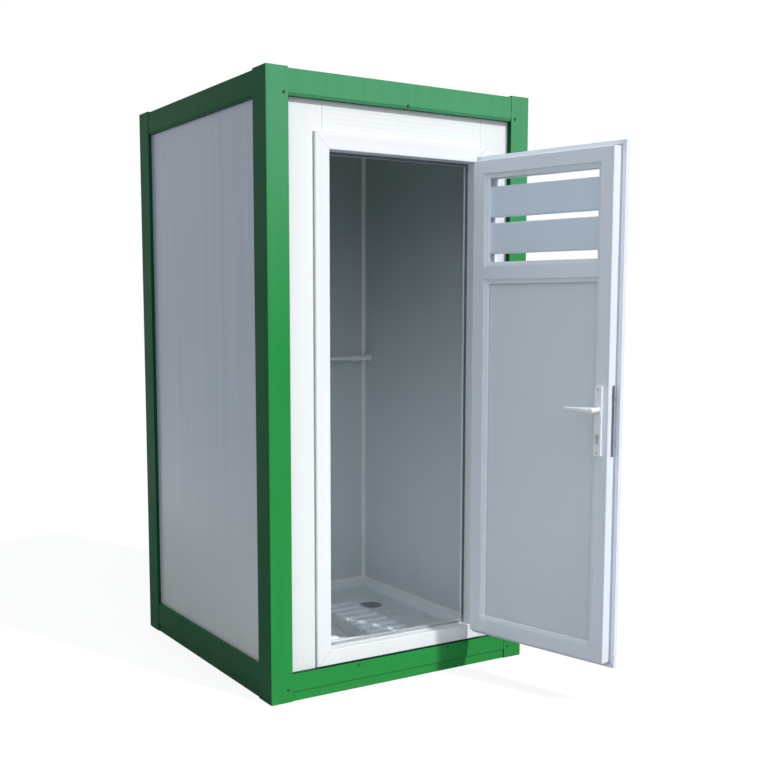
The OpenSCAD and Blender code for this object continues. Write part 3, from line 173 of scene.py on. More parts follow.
def sun(name, strength, width, bearing, height, colour):
    # bearing is counted from straight in front of the door wall, to the right; height is above the ground
    lamp = bpy.data.lights.new(name, "SUN")
    lamp.energy = strength
    lamp.angle = math.radians(width)
    lamp.color = colour
    obj = bpy.data.objects.new(name, lamp)
    scene.collection.objects.link(obj)
    turn = Matrix.Rotation(math.radians(bearing), 4, "Z")
    tip = Matrix.Rotation(math.radians(90.0 - height), 4, "X")
    obj.rotation_euler = (turn @ tip).to_euler()


sun("front_light", 2.5, width=2.0, bearing=20.4, height=42.0, colour=(1.0, 0.985, 0.96))
sun("sky_front", 1.55, width=90.0, bearing=-30.0, height=48.0, colour=(0.9, 0.955, 1.0))
sun("sky_rear", 1.1, width=50.0, bearing=176.0, height=40.0, colour=(0.93, 0.97, 1.0))

bm = bmesh.new()
bmesh.ops.create_circle(bm, cap_ends=True, segments=64, radius=24.0)
mesh = bpy.data.meshes.new("ground")
bm.to_mesh(mesh)
bm.free()
ground = bpy.data.objects.new("ground", mesh)
scene.collection.objects.link(ground)

pale = bpy.data.materials.new("pale_ground")
mesh.materials.append(pale)
tree = node_tree(pale)
paths = add(tree, "ShaderNodeLightPath", -700, 200).outputs
tone = add(tree, "ShaderNodeMix", -350, 0, data_type="RGBA")
tone.inputs["A"].default_value = GROUND_SHED
tone.inputs["B"].default_value = GROUND_SHOWN
seen = combine(tree, "MAXIMUM", paths["Is Camera Ray"], paths["Is Glossy Ray"], -500)
link(tree, seen, tone.inputs["Factor"])
soft = add(tree, "ShaderNodeBsdfDiffuse", -200, 0)
link(tree, tone.outputs["Result"], soft.inputs["Color"])
glow = add(tree, "ShaderNodeEmission", -200, -150)
glow.inputs["Color"].default_value = WHITE
glow.inputs["Strength"].default_value = GLOW
share = combine(tree, "MULTIPLY", paths["Is Camera Ray"], GLOW_SHARE, -200, 200)
mixed_shaders(tree, share, soft.outputs[0], glow.outputs[0], "ShaderNodeOutputMaterial")

# %% [markdown]
# ## Effects that many finishes share
# Painted steel, plastic and zinc look different, but the same few things age them. Each such effect is
# a node group with named inputs, built once, and each material decides what to do with the mask that it
# puts out. The first group gives the broad cloudy change of tone and the fine ripple that a sprayed or
# rolled skin has. The second one stretches the same noise along the height, as rain and rollers run.
# Every pattern is read on the piece itself, from its Object coordinates, so it stays where it is when
# the door moves.

# %% Cloud, ripple and streaks
def effect_group(name, inputs, outputs):
    group = bpy.data.node_groups.new(name, "ShaderNodeTree")
    for label, value in inputs:
        socket = group.interface.new_socket(name=label, in_out="INPUT", socket_type="NodeSocketFloat")
        socket.default_value = value
    for label in outputs:
        kind = "NodeSocketVector" if label == "Normal" else "NodeSocketFloat"
        group.interface.new_socket(name=label, in_out="OUTPUT", socket_type=kind)
    given = add(group, "NodeGroupInput", -1000).outputs
    result = add(group, "NodeGroupOutput", 600).inputs
    return group, given, result


def coordinates(tree):
    return add(tree, "ShaderNodeTexCoord", -1000, 300).outputs


def axes(tree, vector, x=-800, y=200):
    node = add(tree, "ShaderNodeSeparateXYZ", x, y)
    link(tree, vector, node.inputs[0])
    return node.outputs


def joined(tree, values, x=-200, y=200):
    node = add(tree, "ShaderNodeCombineXYZ", x, y)
    for socket, value in zip(node.inputs, values):
        feed(tree, socket, value)
    return node.outputs[0]


def along(tree, vector, direction, x=-700, y=200):
    # How far a point lies along a direction, or how squarely a face looks that way
    node = add(tree, "ShaderNodeVectorMath", x, y, operation="DOT_PRODUCT")
    feed(tree, node.inputs[0], vector)
    feed(tree, node.inputs[1], direction)
    return node.outputs["Value"]


def noise(tree, place, scale, x=-600, y=200, detail=2.0, roughness=0.5):
    node = add(tree, "ShaderNodeTexNoise", x, y)
    for label, value in (("Vector", place), ("Scale", scale), ("Detail", detail), ("Roughness", roughness)):
        feed(tree, node.inputs[label], value)
    return node.outputs["Fac"]


def rescale(tree, value, low, high, x=-300, y=200, kind="LINEAR", to=(0.0, 1.0)):
    # Carries the values from low to high over to the range that is given last
    node = add(tree, "ShaderNodeMapRange", x, y, interpolation_type=kind)
    for label, number in zip(("Value", "From Min", "From Max", "To Min", "To Max"), (value, low, high, *to)):
        feed(tree, node.inputs[label], number)
    return node.outputs["Result"]


cloud, given, result = effect_group("uneven_coat", [("Cloud Scale", 3.0), ("Ripple Scale", 140.0)],
                                    ["Cloud", "Ripple"])
place = coordinates(cloud)["Object"]
broad = noise(cloud, place, given["Cloud Scale"], detail=4.0, roughness=0.55)
link(cloud, rescale(cloud, broad, 0.15, 0.85), result["Cloud"])
link(cloud, noise(cloud, place, given["Ripple Scale"], y=-100), result["Ripple"])

streak, given, result = effect_group("upright_streaks", [("Across Scale", 26.0), ("Along Scale", 0.7)],
                                     ["Streak"])
x, y, z = axes(streak, coordinates(streak)["Object"])
level = combine(streak, "ADD", x, y, -600, 300)
level = combine(streak, "MULTIPLY", level, given["Across Scale"], -400, 300)
up = combine(streak, "MULTIPLY", z, given["Along Scale"], -400, 100)
lines = noise(streak, joined(streak, (level, 0.0, up)), 1.0, 0, 200, detail=4.0)
link(streak, rescale(streak, lines, 0.2, 0.8, 200), result["Streak"])
print("groups:", cloud.name, streak.name)

# %% [markdown]
# ## Height, side and splashes
# Two masks paint light and shade into colours: one by height, one by the way a face looks, so that faces
# towards the front light are painted lit and the other sides keep a painted shade. A third mask lets mud
# splash paint from below. The height mask and the splash need only the height of a point, which Object
# coordinates give, because every solid keeps its place in its mesh. The side mask reads which way the
# surface faces on the object itself, so it stays on the object when the camera moves; only the front of
# the cabin counts as lit.

# %% Painted light by height, painted lit side and splash
DOOR_SIDE = (0.0, -1.0, 0.0)
FRONT_ZONE = -0.4

painted_by_height, given, result = effect_group("painted_light_by_height", [("Start", 0.0), ("End", 1.0)], ["Fade"])
height = axes(painted_by_height, coordinates(painted_by_height)["Object"])["Z"]
link(painted_by_height, rescale(painted_by_height, height, given["Start"], given["End"], kind="SMOOTHSTEP"), result["Fade"])

painted_lit_side, given, result = effect_group("painted_sunlit_side", [("Low", 0.1), ("High", 0.8)], ["Sunny"])
place = coordinates(painted_lit_side)
facing = along(painted_lit_side, place["Normal"], DOOR_SIDE)
facing = rescale(painted_lit_side, facing, given["Low"], given["High"], kind="SMOOTHSTEP")
depth = axes(painted_lit_side, place["Object"], -800, -100)["Y"]
forward = combine(painted_lit_side, "LESS_THAN", depth, FRONT_ZONE, -400, -100)
link(painted_lit_side, combine(painted_lit_side, "MULTIPLY", facing, forward, -200, 100), result["Sunny"])

splash, given, result = effect_group("splash_grime", [("Reach", 0.35), ("Low", 0.0)], ["Grime"])
place = coordinates(splash)["Object"]
height = axes(splash, place)["Z"]
ragged = noise(splash, place, 9.0, -800, -100, detail=6.0)
above = combine(splash, "SUBTRACT", height, given["Low"], -600, 200)
above = combine(splash, "DIVIDE", above, given["Reach"], -400, 200)
fade = combine(splash, "SUBTRACT", 1.0, above, -200, 200, clamp=True)
steep = combine(splash, "MULTIPLY", fade, fade, 0, 200)
link(splash, combine(splash, "MULTIPLY", steep, ragged, 200, 200, clamp=True), result["Grime"])
print("groups:", painted_by_height.name, painted_lit_side.name, splash.name)

# %% [markdown]
# ## Edges, specks and scratches
# A folded or moulded edge is never razor sharp: it is a little round, catches the light, and its coat
# is the first to wear. The Bevel node finds the rounded normal near an edge, and where that differs
# from the flat one there is an edge. Zinc shows a mosaic of flat crystals, which is what Voronoi cells
# are for. Water leaves round specks, and use leaves fine scratches: stretched noise, cut off high.

# %% Edge, mosaic, specks and scratches
edge, given, result = effect_group("soft_edge", [("Radius", 0.0012)], ["Edge", "Normal"])
rounded = add(edge, "ShaderNodeBevel", -800, 200, samples=4)
flat = add(edge, "ShaderNodeNewGeometry", -800, -100)
link(edge, given["Radius"], rounded.inputs["Radius"])
same = along(edge, rounded.outputs["Normal"], flat.outputs["Normal"], -500)
link(edge, rescale(edge, same, 0.99, 0.8, -200), result["Edge"])
link(edge, rounded.outputs["Normal"], result["Normal"])

mosaic, given, result = effect_group("crystal_mosaic", [("Scale", 60.0)], ["Tone"])
cells = add(mosaic, "ShaderNodeTexVoronoi", -600, 200)
shade = add(mosaic, "ShaderNodeSeparateColor", -300, 200)
link(mosaic, coordinates(mosaic)["Object"], cells.inputs["Vector"])
link(mosaic, given["Scale"], cells.inputs["Scale"])
link(mosaic, cells.outputs["Color"], shade.inputs[0])
link(mosaic, shade.outputs[0], result["Tone"])

specks, given, result = effect_group("dried_specks", [("Scale", 90.0), ("Size", 0.22)], ["Speck"])
place = coordinates(specks)["Object"]
drops = add(specks, "ShaderNodeTexVoronoi", -600, 200)
link(specks, place, drops.inputs["Vector"])
link(specks, given["Scale"], drops.inputs["Scale"])
near = rescale(specks, drops.outputs["Distance"], 0.0, given["Size"], to=(1.0, 0.0))
rare = noise(specks, place, 6.0, y=-100)
link(specks, combine(specks, "MULTIPLY", near, rare, 0, 200), result["Speck"])

drawn, given, result = effect_group("drawn_lines", [("Scale", 90.0), ("Across X", 0.0), ("Across Y", 0.0),
                                                   ("Across Z", 1.0)], ["Line"])
way = joined(drawn, [given["Across " + axis] for axis in "XYZ"], -1000, 0)
lines = add(drawn, "ShaderNodeTexNoise", -200, 200, noise_dimensions="1D")
link(drawn, along(drawn, coordinates(drawn)["Object"], way), lines.inputs["W"])
link(drawn, given["Scale"], lines.inputs["Scale"])
link(drawn, lines.outputs["Fac"], result["Line"])

scratch, given, result = effect_group("fine_scratches", [("Across", 420.0), ("Along", 7.0)], ["Scratch"])
place = coordinates(scratch)["Object"]
layers = []
for turn, row in ((0.35, 200), (1.9, -100)):
    slant = add(scratch, "ShaderNodeVectorRotate", -800, row, rotation_type="EULER_XYZ")
    slant.inputs["Rotation"].default_value = (turn, 0.6 * turn, turn)
    link(scratch, place, slant.inputs["Vector"])
    slanted = axes(scratch, slant.outputs[0], -600, row)
    stretched = [combine(scratch, "MULTIPLY", value, given[label], -450, row)
                 for value, label in zip(slanted, ("Across", "Across", "Along"))]
    lines = noise(scratch, joined(scratch, stretched, -300, row), 1.0, -100, row)
    layers.append(rescale(scratch, lines, 0.66, 0.72, 100, row))
link(scratch, combine(scratch, "MAXIMUM", *layers, 300, 200), result["Scratch"])
print("groups:", [g.name for g in bpy.data.node_groups])

# %% [markdown]
# ## Helpers that build a finish in layers
# A real surface is built in layers too: first the paint, then bleaching, then dirt, then wear. So a
# finish starts as one Principled shader and a colour, and each helper lays one thing over what is there
# already. Values that stay the same over the whole surface are set on the shader itself. Each finish
# is kept under the name of the slot or piece that wears it.

# %% Finish helpers
looks = {}
DUST = srgb(150, 148, 140)
MUD = srgb(104, 96, 82)


def start(slot, name, colour, rough, metal=0.0, coat=0.0, specular=0.5):
    looks[slot] = bpy.data.materials.new(name)
    tree = node_tree(looks[slot])
    shader = add(tree, "ShaderNodeBsdfPrincipled", 900)
    out = add(tree, "ShaderNodeOutputMaterial", 1200)
    link(tree, shader.outputs[0], out.inputs[0])
    shader.inputs["Base Color"].default_value = colour
    shader.inputs["Roughness"].default_value = rough
    shader.inputs["Metallic"].default_value = metal
    shader.inputs["Coat Weight"].default_value = coat
    shader.inputs["Coat Roughness"].default_value = 0.12
    shader.inputs["Specular IOR Level"].default_value = specular
    return {"tree": tree, "shader": shader, "last": colour, "row": 0}


def effect(look, group, output, **values):
    look["row"] -= 220
    node = add(look["tree"], "ShaderNodeGroup", -900, look["row"], node_tree=group)
    for label, value in values.items():
        node.inputs[label.replace("_", " ").title()].default_value = value
    return node.outputs[output]


def tint(look, mask, colour, amount=1.0, where=None):
    # Lays a colour over the last one as far as the mask says, and only where the second mask allows it
    tree = look["tree"]
    if where is not None:
        mask = combine(tree, "MULTIPLY", mask, where, -650, look["row"])
    layer = add(tree, "ShaderNodeMix", -200, look["row"], data_type="RGBA")
    feed(tree, layer.inputs["A"], look["last"])
    layer.inputs["B"].default_value = colour
    link(tree, combine(tree, "MULTIPLY", mask, amount, -500, look["row"]), layer.inputs["Factor"])
    look["last"] = layer.outputs["Result"]
    link(tree, look["last"], look["shader"].inputs["Base Color"])


def gloss(look, mask, low, high):
    rough = rescale(look["tree"], mask, 0.0, 1.0, 300, 300, to=(low, high))
    link(look["tree"], rough, look["shader"].inputs["Roughness"])


def relief(look, height, metres, radius=None):
    # A bump as high as metres says, over edges that are rounded by the radius
    bump = add(look["tree"], "ShaderNodeBump", 600, -300)
    bump.inputs["Distance"].default_value = metres
    link(look["tree"], height, bump.inputs["Height"])
    if radius is not None:
        link(look["tree"], effect(look, edge, "Normal", radius=radius), bump.inputs["Normal"])
    link(look["tree"], bump.outputs["Normal"], look["shader"].inputs["Normal"])


def ripple(look, scale, metres, radius=None):
    relief(look, effect(look, cloud, "Ripple", ripple_scale=scale), metres, radius)


print("helpers: start, effect, tint, gloss, relief, ripple")

# %% [markdown]
# ## Painted and galvanised steel
# The posts and beams are folded sheet, sprayed green. The green is painted lit on the door wall's side and
# lighter still towards its top, a painted reflection of the sky; the other sides are painted a deep green as
# painted shade. The paint has worn to a paler line along the folds, rain has left faint streaks and the
# ground has splashed it. The roof sheet, the joists and the underside are plain galvanised sheet with its
# crystal mosaic.

# %% Green paint and zinc
# Painted shade: the deep base green stands for the sides away from the front light.
look = start("green_steel", "green_paint", srgb(8, 68, 38), 0.58, specular=0.06)
# Painted light: faces towards the front light are painted a lit green.
side = effect(look, painted_lit_side, "Sunny")
tint(look, side, srgb(42, 144, 68))
paint = effect(look, cloud, "Cloud", cloud_scale=2.6)
tint(look, paint, srgb(52, 158, 88), 0.22, where=side)
# Painted reflection of the sky: the lit green is painted lighter towards the top.
tint(look, effect(look, painted_by_height, "Fade", start=1.15, end=2.15), srgb(86, 158, 114), 0.92, where=side)
tint(look, effect(look, streak, "Streak", across_scale=34.0, along_scale=0.6), srgb(14, 104, 48), 0.16)
tint(look, effect(look, splash, "Grime", reach=0.2), MUD, 0.12)
tint(look, effect(look, edge, "Edge", radius=0.0022), srgb(110, 176, 132), 0.28)
gloss(look, paint, 0.42, 0.58)
ripple(look, 260.0, 0.0004, radius=0.0022)

look = start("green_screw", "green_screw_paint", srgb(16, 62, 32), 0.5, specular=0.3)
tint(look, effect(look, cloud, "Cloud", cloud_scale=120.0), srgb(34, 88, 52))
tint(look, effect(look, edge, "Edge", radius=0.001), srgb(96, 128, 104), 0.5)

look = start("galvanised_steel", "galvanised_sheet", srgb(176, 181, 184), 0.45, metal=0.75)
flower = effect(look, mosaic, "Tone", scale=55.0)
tint(look, flower, srgb(134, 141, 146), 0.8)
tint(look, effect(look, cloud, "Cloud", cloud_scale=1.6), srgb(150, 154, 154), 0.5)
tint(look, effect(look, splash, "Grime", reach=0.12), MUD, 0.6)
gloss(look, flower, 0.36, 0.6)
ripple(look, 90.0, 0.0003)
print("steel finishes:", list(looks))

# %% [markdown]
# ## Panel skins and trims
# The walls are sandwich panels with coated steel skins. Outdoors the side and rear skins carry a grey
# film, rain streaks and dust low down; in the room they have stayed whiter. Light and shade are painted
# on too: in the room the skins are painted lighter towards the floor and darker and greener towards the
# ceiling, and outdoors lighter and warmer towards the bottom, a painted reflection of the ground. One
# material serves both faces of a panel: a mask tells from the distance to the middle of the cabin which
# face is outdoors.
# The strip over the door has very fine level ribs from the rollers. Trims are plain extruded plastic.

# %% Skins and trims
fine_ribs, given, result = effect_group("roller_ribs", [("Pitch", 0.02)], ["Ribs"])
height = axes(fine_ribs, coordinates(fine_ribs)["Object"])["Z"]
turns = combine(fine_ribs, "DIVIDE", height, given["Pitch"], -600, 200)
turns = combine(fine_ribs, "MULTIPLY", turns, math.tau, -400, 200)
link(fine_ribs, combine(fine_ribs, "SINE", turns, 0.0, -200, 200), result["Ribs"])

outdoors, given, result = effect_group("outdoor_faces", [("Half Width", 0.53), ("Half Depth", 0.56)],
                                       ["Outdoors"])
place = axes(outdoors, coordinates(outdoors)["Object"])
past = []
for axis, half, row in (("X", "Half Width", 300), ("Y", "Half Depth", 100)):
    distance = combine(outdoors, "ABSOLUTE", place[axis], 0.0, -600, row)
    past.append(combine(outdoors, "GREATER_THAN", distance, given[half], -400, row))
link(outdoors, combine(outdoors, "MAXIMUM", *past, -200, 200), result["Outdoors"])

look = start("side_skin", "side_skin_coat", srgb(210, 219, 222), 0.36, coat=0.1)
skin = effect(look, cloud, "Cloud", cloud_scale=1.4)
outer = effect(look, outdoors, "Outdoors")
inner = combine(look["tree"], "SUBTRACT", 1.0, outer, -800, look["row"])
runs = effect(look, streak, "Streak", across_scale=30.0, along_scale=0.4)
tint(look, skin, srgb(202, 211, 215), 0.6)
tint(look, outer, srgb(158, 168, 184), 0.9)
tint(look, runs, srgb(132, 141, 156), 0.36, where=outer)
# Painted light: in the room the skin is painted lighter towards the floor.
tint(look, effect(look, painted_by_height, "Fade", start=1.5, end=0.2), srgb(230, 236, 242), 0.5, where=inner)
# Painted reflection of the ground: outdoors the skin is painted lighter and warmer towards the bottom.
tint(look, effect(look, painted_by_height, "Fade", start=1.1, end=0.1), srgb(193, 194, 190), 0.8, where=outer)
# Painted shade: in the room the skin is painted darker and greener towards the ceiling.
tint(look, effect(look, painted_by_height, "Fade", start=0.9, end=2.1), srgb(164, 175, 170), 0.6, where=inner)
tint(look, effect(look, splash, "Grime", reach=0.3, low=0.1), DUST, 0.3)
gloss(look, skin, 0.26, 0.42)
ripple(look, 3.0, 0.0006)

for slot in ("front_skin", "over_door_skin"):
    look = start(slot, slot + "_coat", srgb(241, 242, 241), 0.42, specular=0.4)
    skin = effect(look, cloud, "Cloud", cloud_scale=2.0)
    tint(look, skin, srgb(236, 240, 241), 0.6)
    tint(look, effect(look, streak, "Streak", across_scale=60.0, along_scale=0.8), srgb(220, 226, 227), 0.22)
    tint(look, effect(look, splash, "Grime", reach=0.5, low=0.08), DUST, 0.3)
    gloss(look, skin, 0.36, 0.5)
    if slot == "over_door_skin":
        relief(look, effect(look, fine_ribs, "Ribs", pitch=0.016), 0.00012)
    else:
        ripple(look, 9.0, 0.0006)

look = start("trim_plastic", "trim_extrusion", srgb(246, 248, 249), 0.34)
tint(look, effect(look, cloud, "Cloud", cloud_scale=9.0), srgb(238, 241, 243), 0.8)
tint(look, effect(look, streak, "Streak", across_scale=90.0, along_scale=2.0), srgb(226, 231, 234), 0.3)
gloss(look, effect(look, cloud, "Ripple", ripple_scale=60.0), 0.28, 0.42)
print("skins:", list(looks)[3:])

# %% [markdown]
# ## Door profiles
# The frame and the leaf are white extruded profiles, shinier than the walls. Extrusion leaves hair-fine
# lines along a bar, dust settles at the sill, and the profiles' edges are rounded by a millimetre or
# so, which the soft edge gives them without more faces. The infill and the slats are a plain board with
# a grey cast. The upper part of the leaf, profiles and slats, is painted bluer as painted light of the sky,
# and the glazing beads are painted whiter than the leaf as a painted highlight of their lit step. The
# frame's seal is slate rubber, dusty at the sill; the leaf's own lines are paler rubber.

# %% Frame, leaf, infill and seal
def profile(slot, name, colour, cooler, rough, across, sky=0.0):
    look = start(slot, name, colour, rough, coat=0.1)
    tone = effect(look, cloud, "Cloud", cloud_scale=2.2)
    tint(look, tone, cooler, 0.6)
    line = effect(look, drawn, "Line", scale=62.0, across_x=across[0], across_y=across[1], across_z=across[2])
    tint(look, line, srgb(214, 220, 227), 0.35)
    tint(look, effect(look, splash, "Grime", reach=0.25, low=0.1), DUST, 0.3)
    tint(look, effect(look, scratch, "Scratch", across=160.0, along=3.0), srgb(206, 211, 216), 0.2)
    gloss(look, tone, rough - 0.05, rough + 0.08)
    # Painted light of the sky: the upper part of the leaf is painted bluer.
    if sky:
        tint(look, effect(look, painted_by_height, "Fade", start=1.3, end=1.8), srgb(240, 246, 255), sky)
    relief(look, line, 0.00008, radius=0.0012)


LEVEL, UPRIGHT, UPRIGHT_LEAF = (0, 0, 1), (1, 0, 0), (0.225, -0.974, 0.0)
FRAME_WHITE, FRAME_COOL = srgb(246, 247, 248), srgb(239, 242, 244)
profile("frame_plastic", "frame_level", FRAME_WHITE, FRAME_COOL, 0.3, LEVEL)
profile("frame_upright", "frame_upright", FRAME_WHITE, FRAME_COOL, 0.3, UPRIGHT)
profile("leaf_plastic", "leaf_level", srgb(236, 239, 249), srgb(228, 232, 244), 0.3, LEVEL, 0.6)
profile("leaf_upright", "leaf_upright", srgb(236, 240, 249), srgb(228, 233, 244), 0.3, UPRIGHT_LEAF, 0.5)
# The beads are the leaf's white plastic; their whiter, bluer colour is a painted highlight of the lit step.
profile("bead_white_highlight", "bead_white_highlight", srgb(246, 250, 255), srgb(240, 246, 253), 0.22, LEVEL)

look = start("leaf_infill", "infill_board", srgb(228, 233, 239), 0.42)
tone = effect(look, cloud, "Cloud", cloud_scale=3.5)
tint(look, tone, srgb(221, 227, 234), 0.8)
tint(look, effect(look, specks, "Speck", scale=26.0, size=0.16), srgb(190, 197, 204), 0.35)
tint(look, effect(look, splash, "Grime", reach=0.5, low=0.18), DUST, 0.4)
# Painted light of the sky: the slats in the upper bay are painted bluer.
tint(look, effect(look, painted_by_height, "Fade", start=1.45, end=1.75), srgb(224, 237, 254), 0.8)
gloss(look, tone, 0.34, 0.5)
ripple(look, 40.0, 0.0003, radius=0.002)

look = start("seal_rubber", "slate_rubber", srgb(94, 103, 115), 0.65, specular=0.35)
tone = effect(look, cloud, "Cloud", cloud_scale=12.0)
tint(look, tone, srgb(106, 115, 126), 0.8)
tint(look, effect(look, splash, "Grime", reach=0.05, low=0.165), srgb(180, 185, 188), 1.4)
gloss(look, tone, 0.55, 0.78)

look = start("pale_rubber", "pale_rubber", srgb(184, 192, 202), 0.6, specular=0.35)
tone = effect(look, cloud, "Cloud", cloud_scale=12.0)
tint(look, tone, srgb(194, 201, 210), 0.8)
tint(look, effect(look, splash, "Grime", reach=0.12, low=0.16), srgb(150, 152, 150))
gloss(look, tone, 0.5, 0.7)
print("door finishes:", list(looks)[7:])

# %% [markdown]
# ## Metals
# Zinc-plated lock parts, painted levers and hinges, nickel on the lock's cylinder, turned brass on the
# inlet and chrome on the shower. A metal's colour lives in its reflections, so these finishes mostly
# vary their gloss: brushed lines on the lock steel, dried drops on the chrome, and worn bright edges.

# %% Lock, hinges, brass and chrome
def metal(slot, name, colour, other, low, high, radius, worn, brushed=0.0, drops=0.0):
    look = start(slot, name, colour, low, metal=1.0)
    tone = effect(look, cloud, "Cloud", cloud_scale=45.0)
    tint(look, tone, other, 0.8)
    if drops:
        tint(look, effect(look, specks, "Speck", scale=150.0, size=0.25), srgb(196, 200, 202), drops)
    tint(look, effect(look, edge, "Edge", radius=radius), worn, 0.6)
    if brushed:
        grain = effect(look, streak, "Streak", across_scale=brushed, along_scale=14.0)
        gloss(look, grain, low, high)
        relief(look, grain, 0.00006, radius)
    else:
        gloss(look, tone, low, high)
        ripple(look, 220.0, 0.00005, radius)


def hard_paint(slot, name, colour, other, rough, wear):
    look = start(slot, name, colour, rough, coat=0.2)
    tone = effect(look, cloud, "Cloud", cloud_scale=14.0)
    tint(look, tone, other, 0.8)
    tint(look, effect(look, scratch, "Scratch", across=500.0, along=20.0), srgb(150, 154, 160), 0.35)
    tint(look, effect(look, edge, "Edge", radius=0.0006), wear, 0.35)
    gloss(look, tone, rough - 0.06, rough + 0.1)
    ripple(look, 320.0, 0.00008, radius=0.0008)


metal("lock_steel", "brushed_lock_steel", srgb(150, 154, 160), srgb(122, 126, 132), 0.3, 0.52, 0.0005,
      worn=srgb(200, 203, 206), brushed=700.0)
metal("plug_brass", "nickel_plate", srgb(164, 164, 160), srgb(132, 133, 132), 0.28, 0.44, 0.0004,
      worn=srgb(206, 206, 202))
metal("inlet_brass", "turned_brass", srgb(204, 164, 88), srgb(160, 122, 58), 0.26, 0.42, 0.0006,
      worn=srgb(232, 200, 130))
metal("chrome", "bright_chrome", srgb(216, 220, 224), srgb(200, 205, 210), 0.06, 0.16, 0.0008,
      worn=srgb(216, 220, 224), drops=0.5)
hard_paint("hinge_white", "hinge_paint", srgb(230, 233, 236), srgb(218, 222, 227), 0.34, srgb(170, 174, 178))
hard_paint("lever_white", "lever_paint", srgb(246, 247, 249), srgb(239, 241, 245), 0.3, srgb(252, 252, 253))
print("metals:", list(looks)[15:])

# %% [markdown]
# ## Tray, waste, pipes and boards
# The tray is glossy moulded acrylic with soap film between its ribs and fine scratches where people
# stand. The waste is grey moulding, the pipes are plain white plastic, and the floor deck, which only
# shows from below, is plywood: its grain is noise stretched along one direction. Sealant, weld lines
# and the waste's ring take the finish of a moulding in tones of their own. The grey of the frame's sealant
# is also painted shade along the side of the frame, and the dark ring round the waste is painted shade of
# its dish.

# %% Plastics and plywood
look = start("tray_white", "tray_acrylic", srgb(244, 248, 252), 0.24, coat=0.25)
tone = effect(look, cloud, "Cloud", cloud_scale=4.0)
tint(look, tone, srgb(239, 244, 249), 0.7)
tint(look, effect(look, specks, "Speck", scale=80.0, size=0.26), srgb(214, 220, 226), 0.3)
tint(look, effect(look, splash, "Grime", reach=0.014, low=0.066), srgb(176, 178, 174), 0.5)
tint(look, effect(look, scratch, "Scratch", across=300.0, along=30.0), srgb(214, 219, 224), 0.2)
gloss(look, tone, 0.14, 0.34)
ripple(look, 24.0, 0.00012, radius=0.002)


def moulding(slot, name, colour, other, rough, film):
    look = start(slot, name, colour, rough)
    tone = effect(look, cloud, "Cloud", cloud_scale=20.0)
    tint(look, tone, other, 0.8)
    tint(look, effect(look, specks, "Speck", scale=120.0, size=0.3), film, 0.35)
    tint(look, effect(look, edge, "Edge", radius=0.0006), film, 0.3)
    gloss(look, tone, rough - 0.08, rough + 0.1)
    ripple(look, 150.0, 0.00012)


moulding("waste_grey", "grate_grey", srgb(158, 164, 171), srgb(138, 144, 152), 0.4, srgb(186, 190, 194))
moulding("drain_grey", "drain_grey", srgb(150, 154, 156), srgb(132, 137, 140), 0.5, srgb(176, 178, 178))
moulding("pipe_white", "pipe_plastic", srgb(250, 251, 252), srgb(244, 246, 248), 0.36, srgb(226, 229, 231))
# Painted shade: the sealant's grey also stands for the shade along the side of the frame.
moulding("joint_grey_shade", "joint_sealant", srgb(172, 177, 180), srgb(156, 161, 165), 0.55, srgb(190, 194, 196))
moulding("weld_grey", "weld_line", srgb(186, 191, 196), srgb(176, 181, 186), 0.5, srgb(200, 204, 208))
# Painted shade: the ring's dark grey stands for the shade in the waste's dish.
moulding("dish_shade_grey", "waste_ring_painted_shade", srgb(92, 98, 106), srgb(78, 84, 92), 0.4, srgb(130, 136, 142))

look = start("deck_board", "plywood", srgb(186, 150, 104), 0.68)
tree = look["tree"]
stretch = add(tree, "ShaderNodeMapping", -900, 200)
stretch.inputs["Scale"].default_value = (3.0, 70.0, 3.0)
link(tree, coordinates(tree)["Object"], stretch.inputs["Vector"])
grain = noise(tree, stretch.outputs[0], 1.0, -700, detail=6.0)
tint(look, grain, srgb(138, 100, 62), 0.9)
gloss(look, grain, 0.6, 0.8)
relief(look, grain, 0.0003)

for part in frame["record"]["subparts"]:
    for slot in nodes[part["node"]].material_slots:
        slot.material = looks[part["material_slot"]]
others = {"over_door_panel": "over_door_skin", "door_frame_hinge_jamb": "frame_upright",
          "door_frame_latch_jamb": "frame_upright", "sash_hinge_stile": "leaf_upright",
          "sash_latch_stile": "leaf_upright"}
for node, name in others.items():
    nodes[node].material_slots[0].material = looks[name]
print("finishes:", len(looks), "on", len(nodes), "solids")

# %% [markdown]
# ## Helpers for small pieces
# A finished piece sits at the origin with its place in its mesh, just as the solids do, so a helper
# turns a bmesh into such an object, smooths its round faces, and ties it to the body that it moves
# with. Lengths below are given in millimetres, because that is how the cabin is drawn; only the hinge
# axis is in metres, as in the frame. The leaf's pieces are drawn with the leaf shut and then swung.

# %% Piece helpers
MM = 0.001
HINGE = Vector((0.324, -0.621, 0.0))
OPEN_TURN = 103.0
SWUNG = (Matrix.Translation(HINGE) @ Matrix.Rotation(math.radians(OPEN_TURN), 4, "Z")
         @ Matrix.Translation(-HINGE))
FRONT, BACK, LEFT = Vector((0, -1, 0)), Vector((0, 1, 0)), Vector((-1, 0, 0))
RIGHT, UP, DOWN = Vector((1, 0, 0)), Vector((0, 0, 1)), Vector((0, 0, -1))


def aimed(point, direction):
    # A matrix that puts a shape drawn along Z on a point, looking in a direction
    return Matrix.Translation(Vector(point) * MM) @ direction.to_track_quat("Z", "Y").to_matrix().to_4x4()


def top_face(bm):
    return max(bm.faces, key=lambda f: f.calc_center_median().z)


def rod(bm, segments, low_r, high_r, height, foot=0.0):
    # A closed round or many-sided bar that stands on the level foot
    made = bmesh.ops.create_cone(bm, cap_ends=True, segments=segments, radius1=low_r * MM,
                                 radius2=high_r * MM, depth=height * MM)
    bmesh.ops.translate(bm, vec=(0, 0, (0.5 * height + foot) * MM), verts=made["verts"])


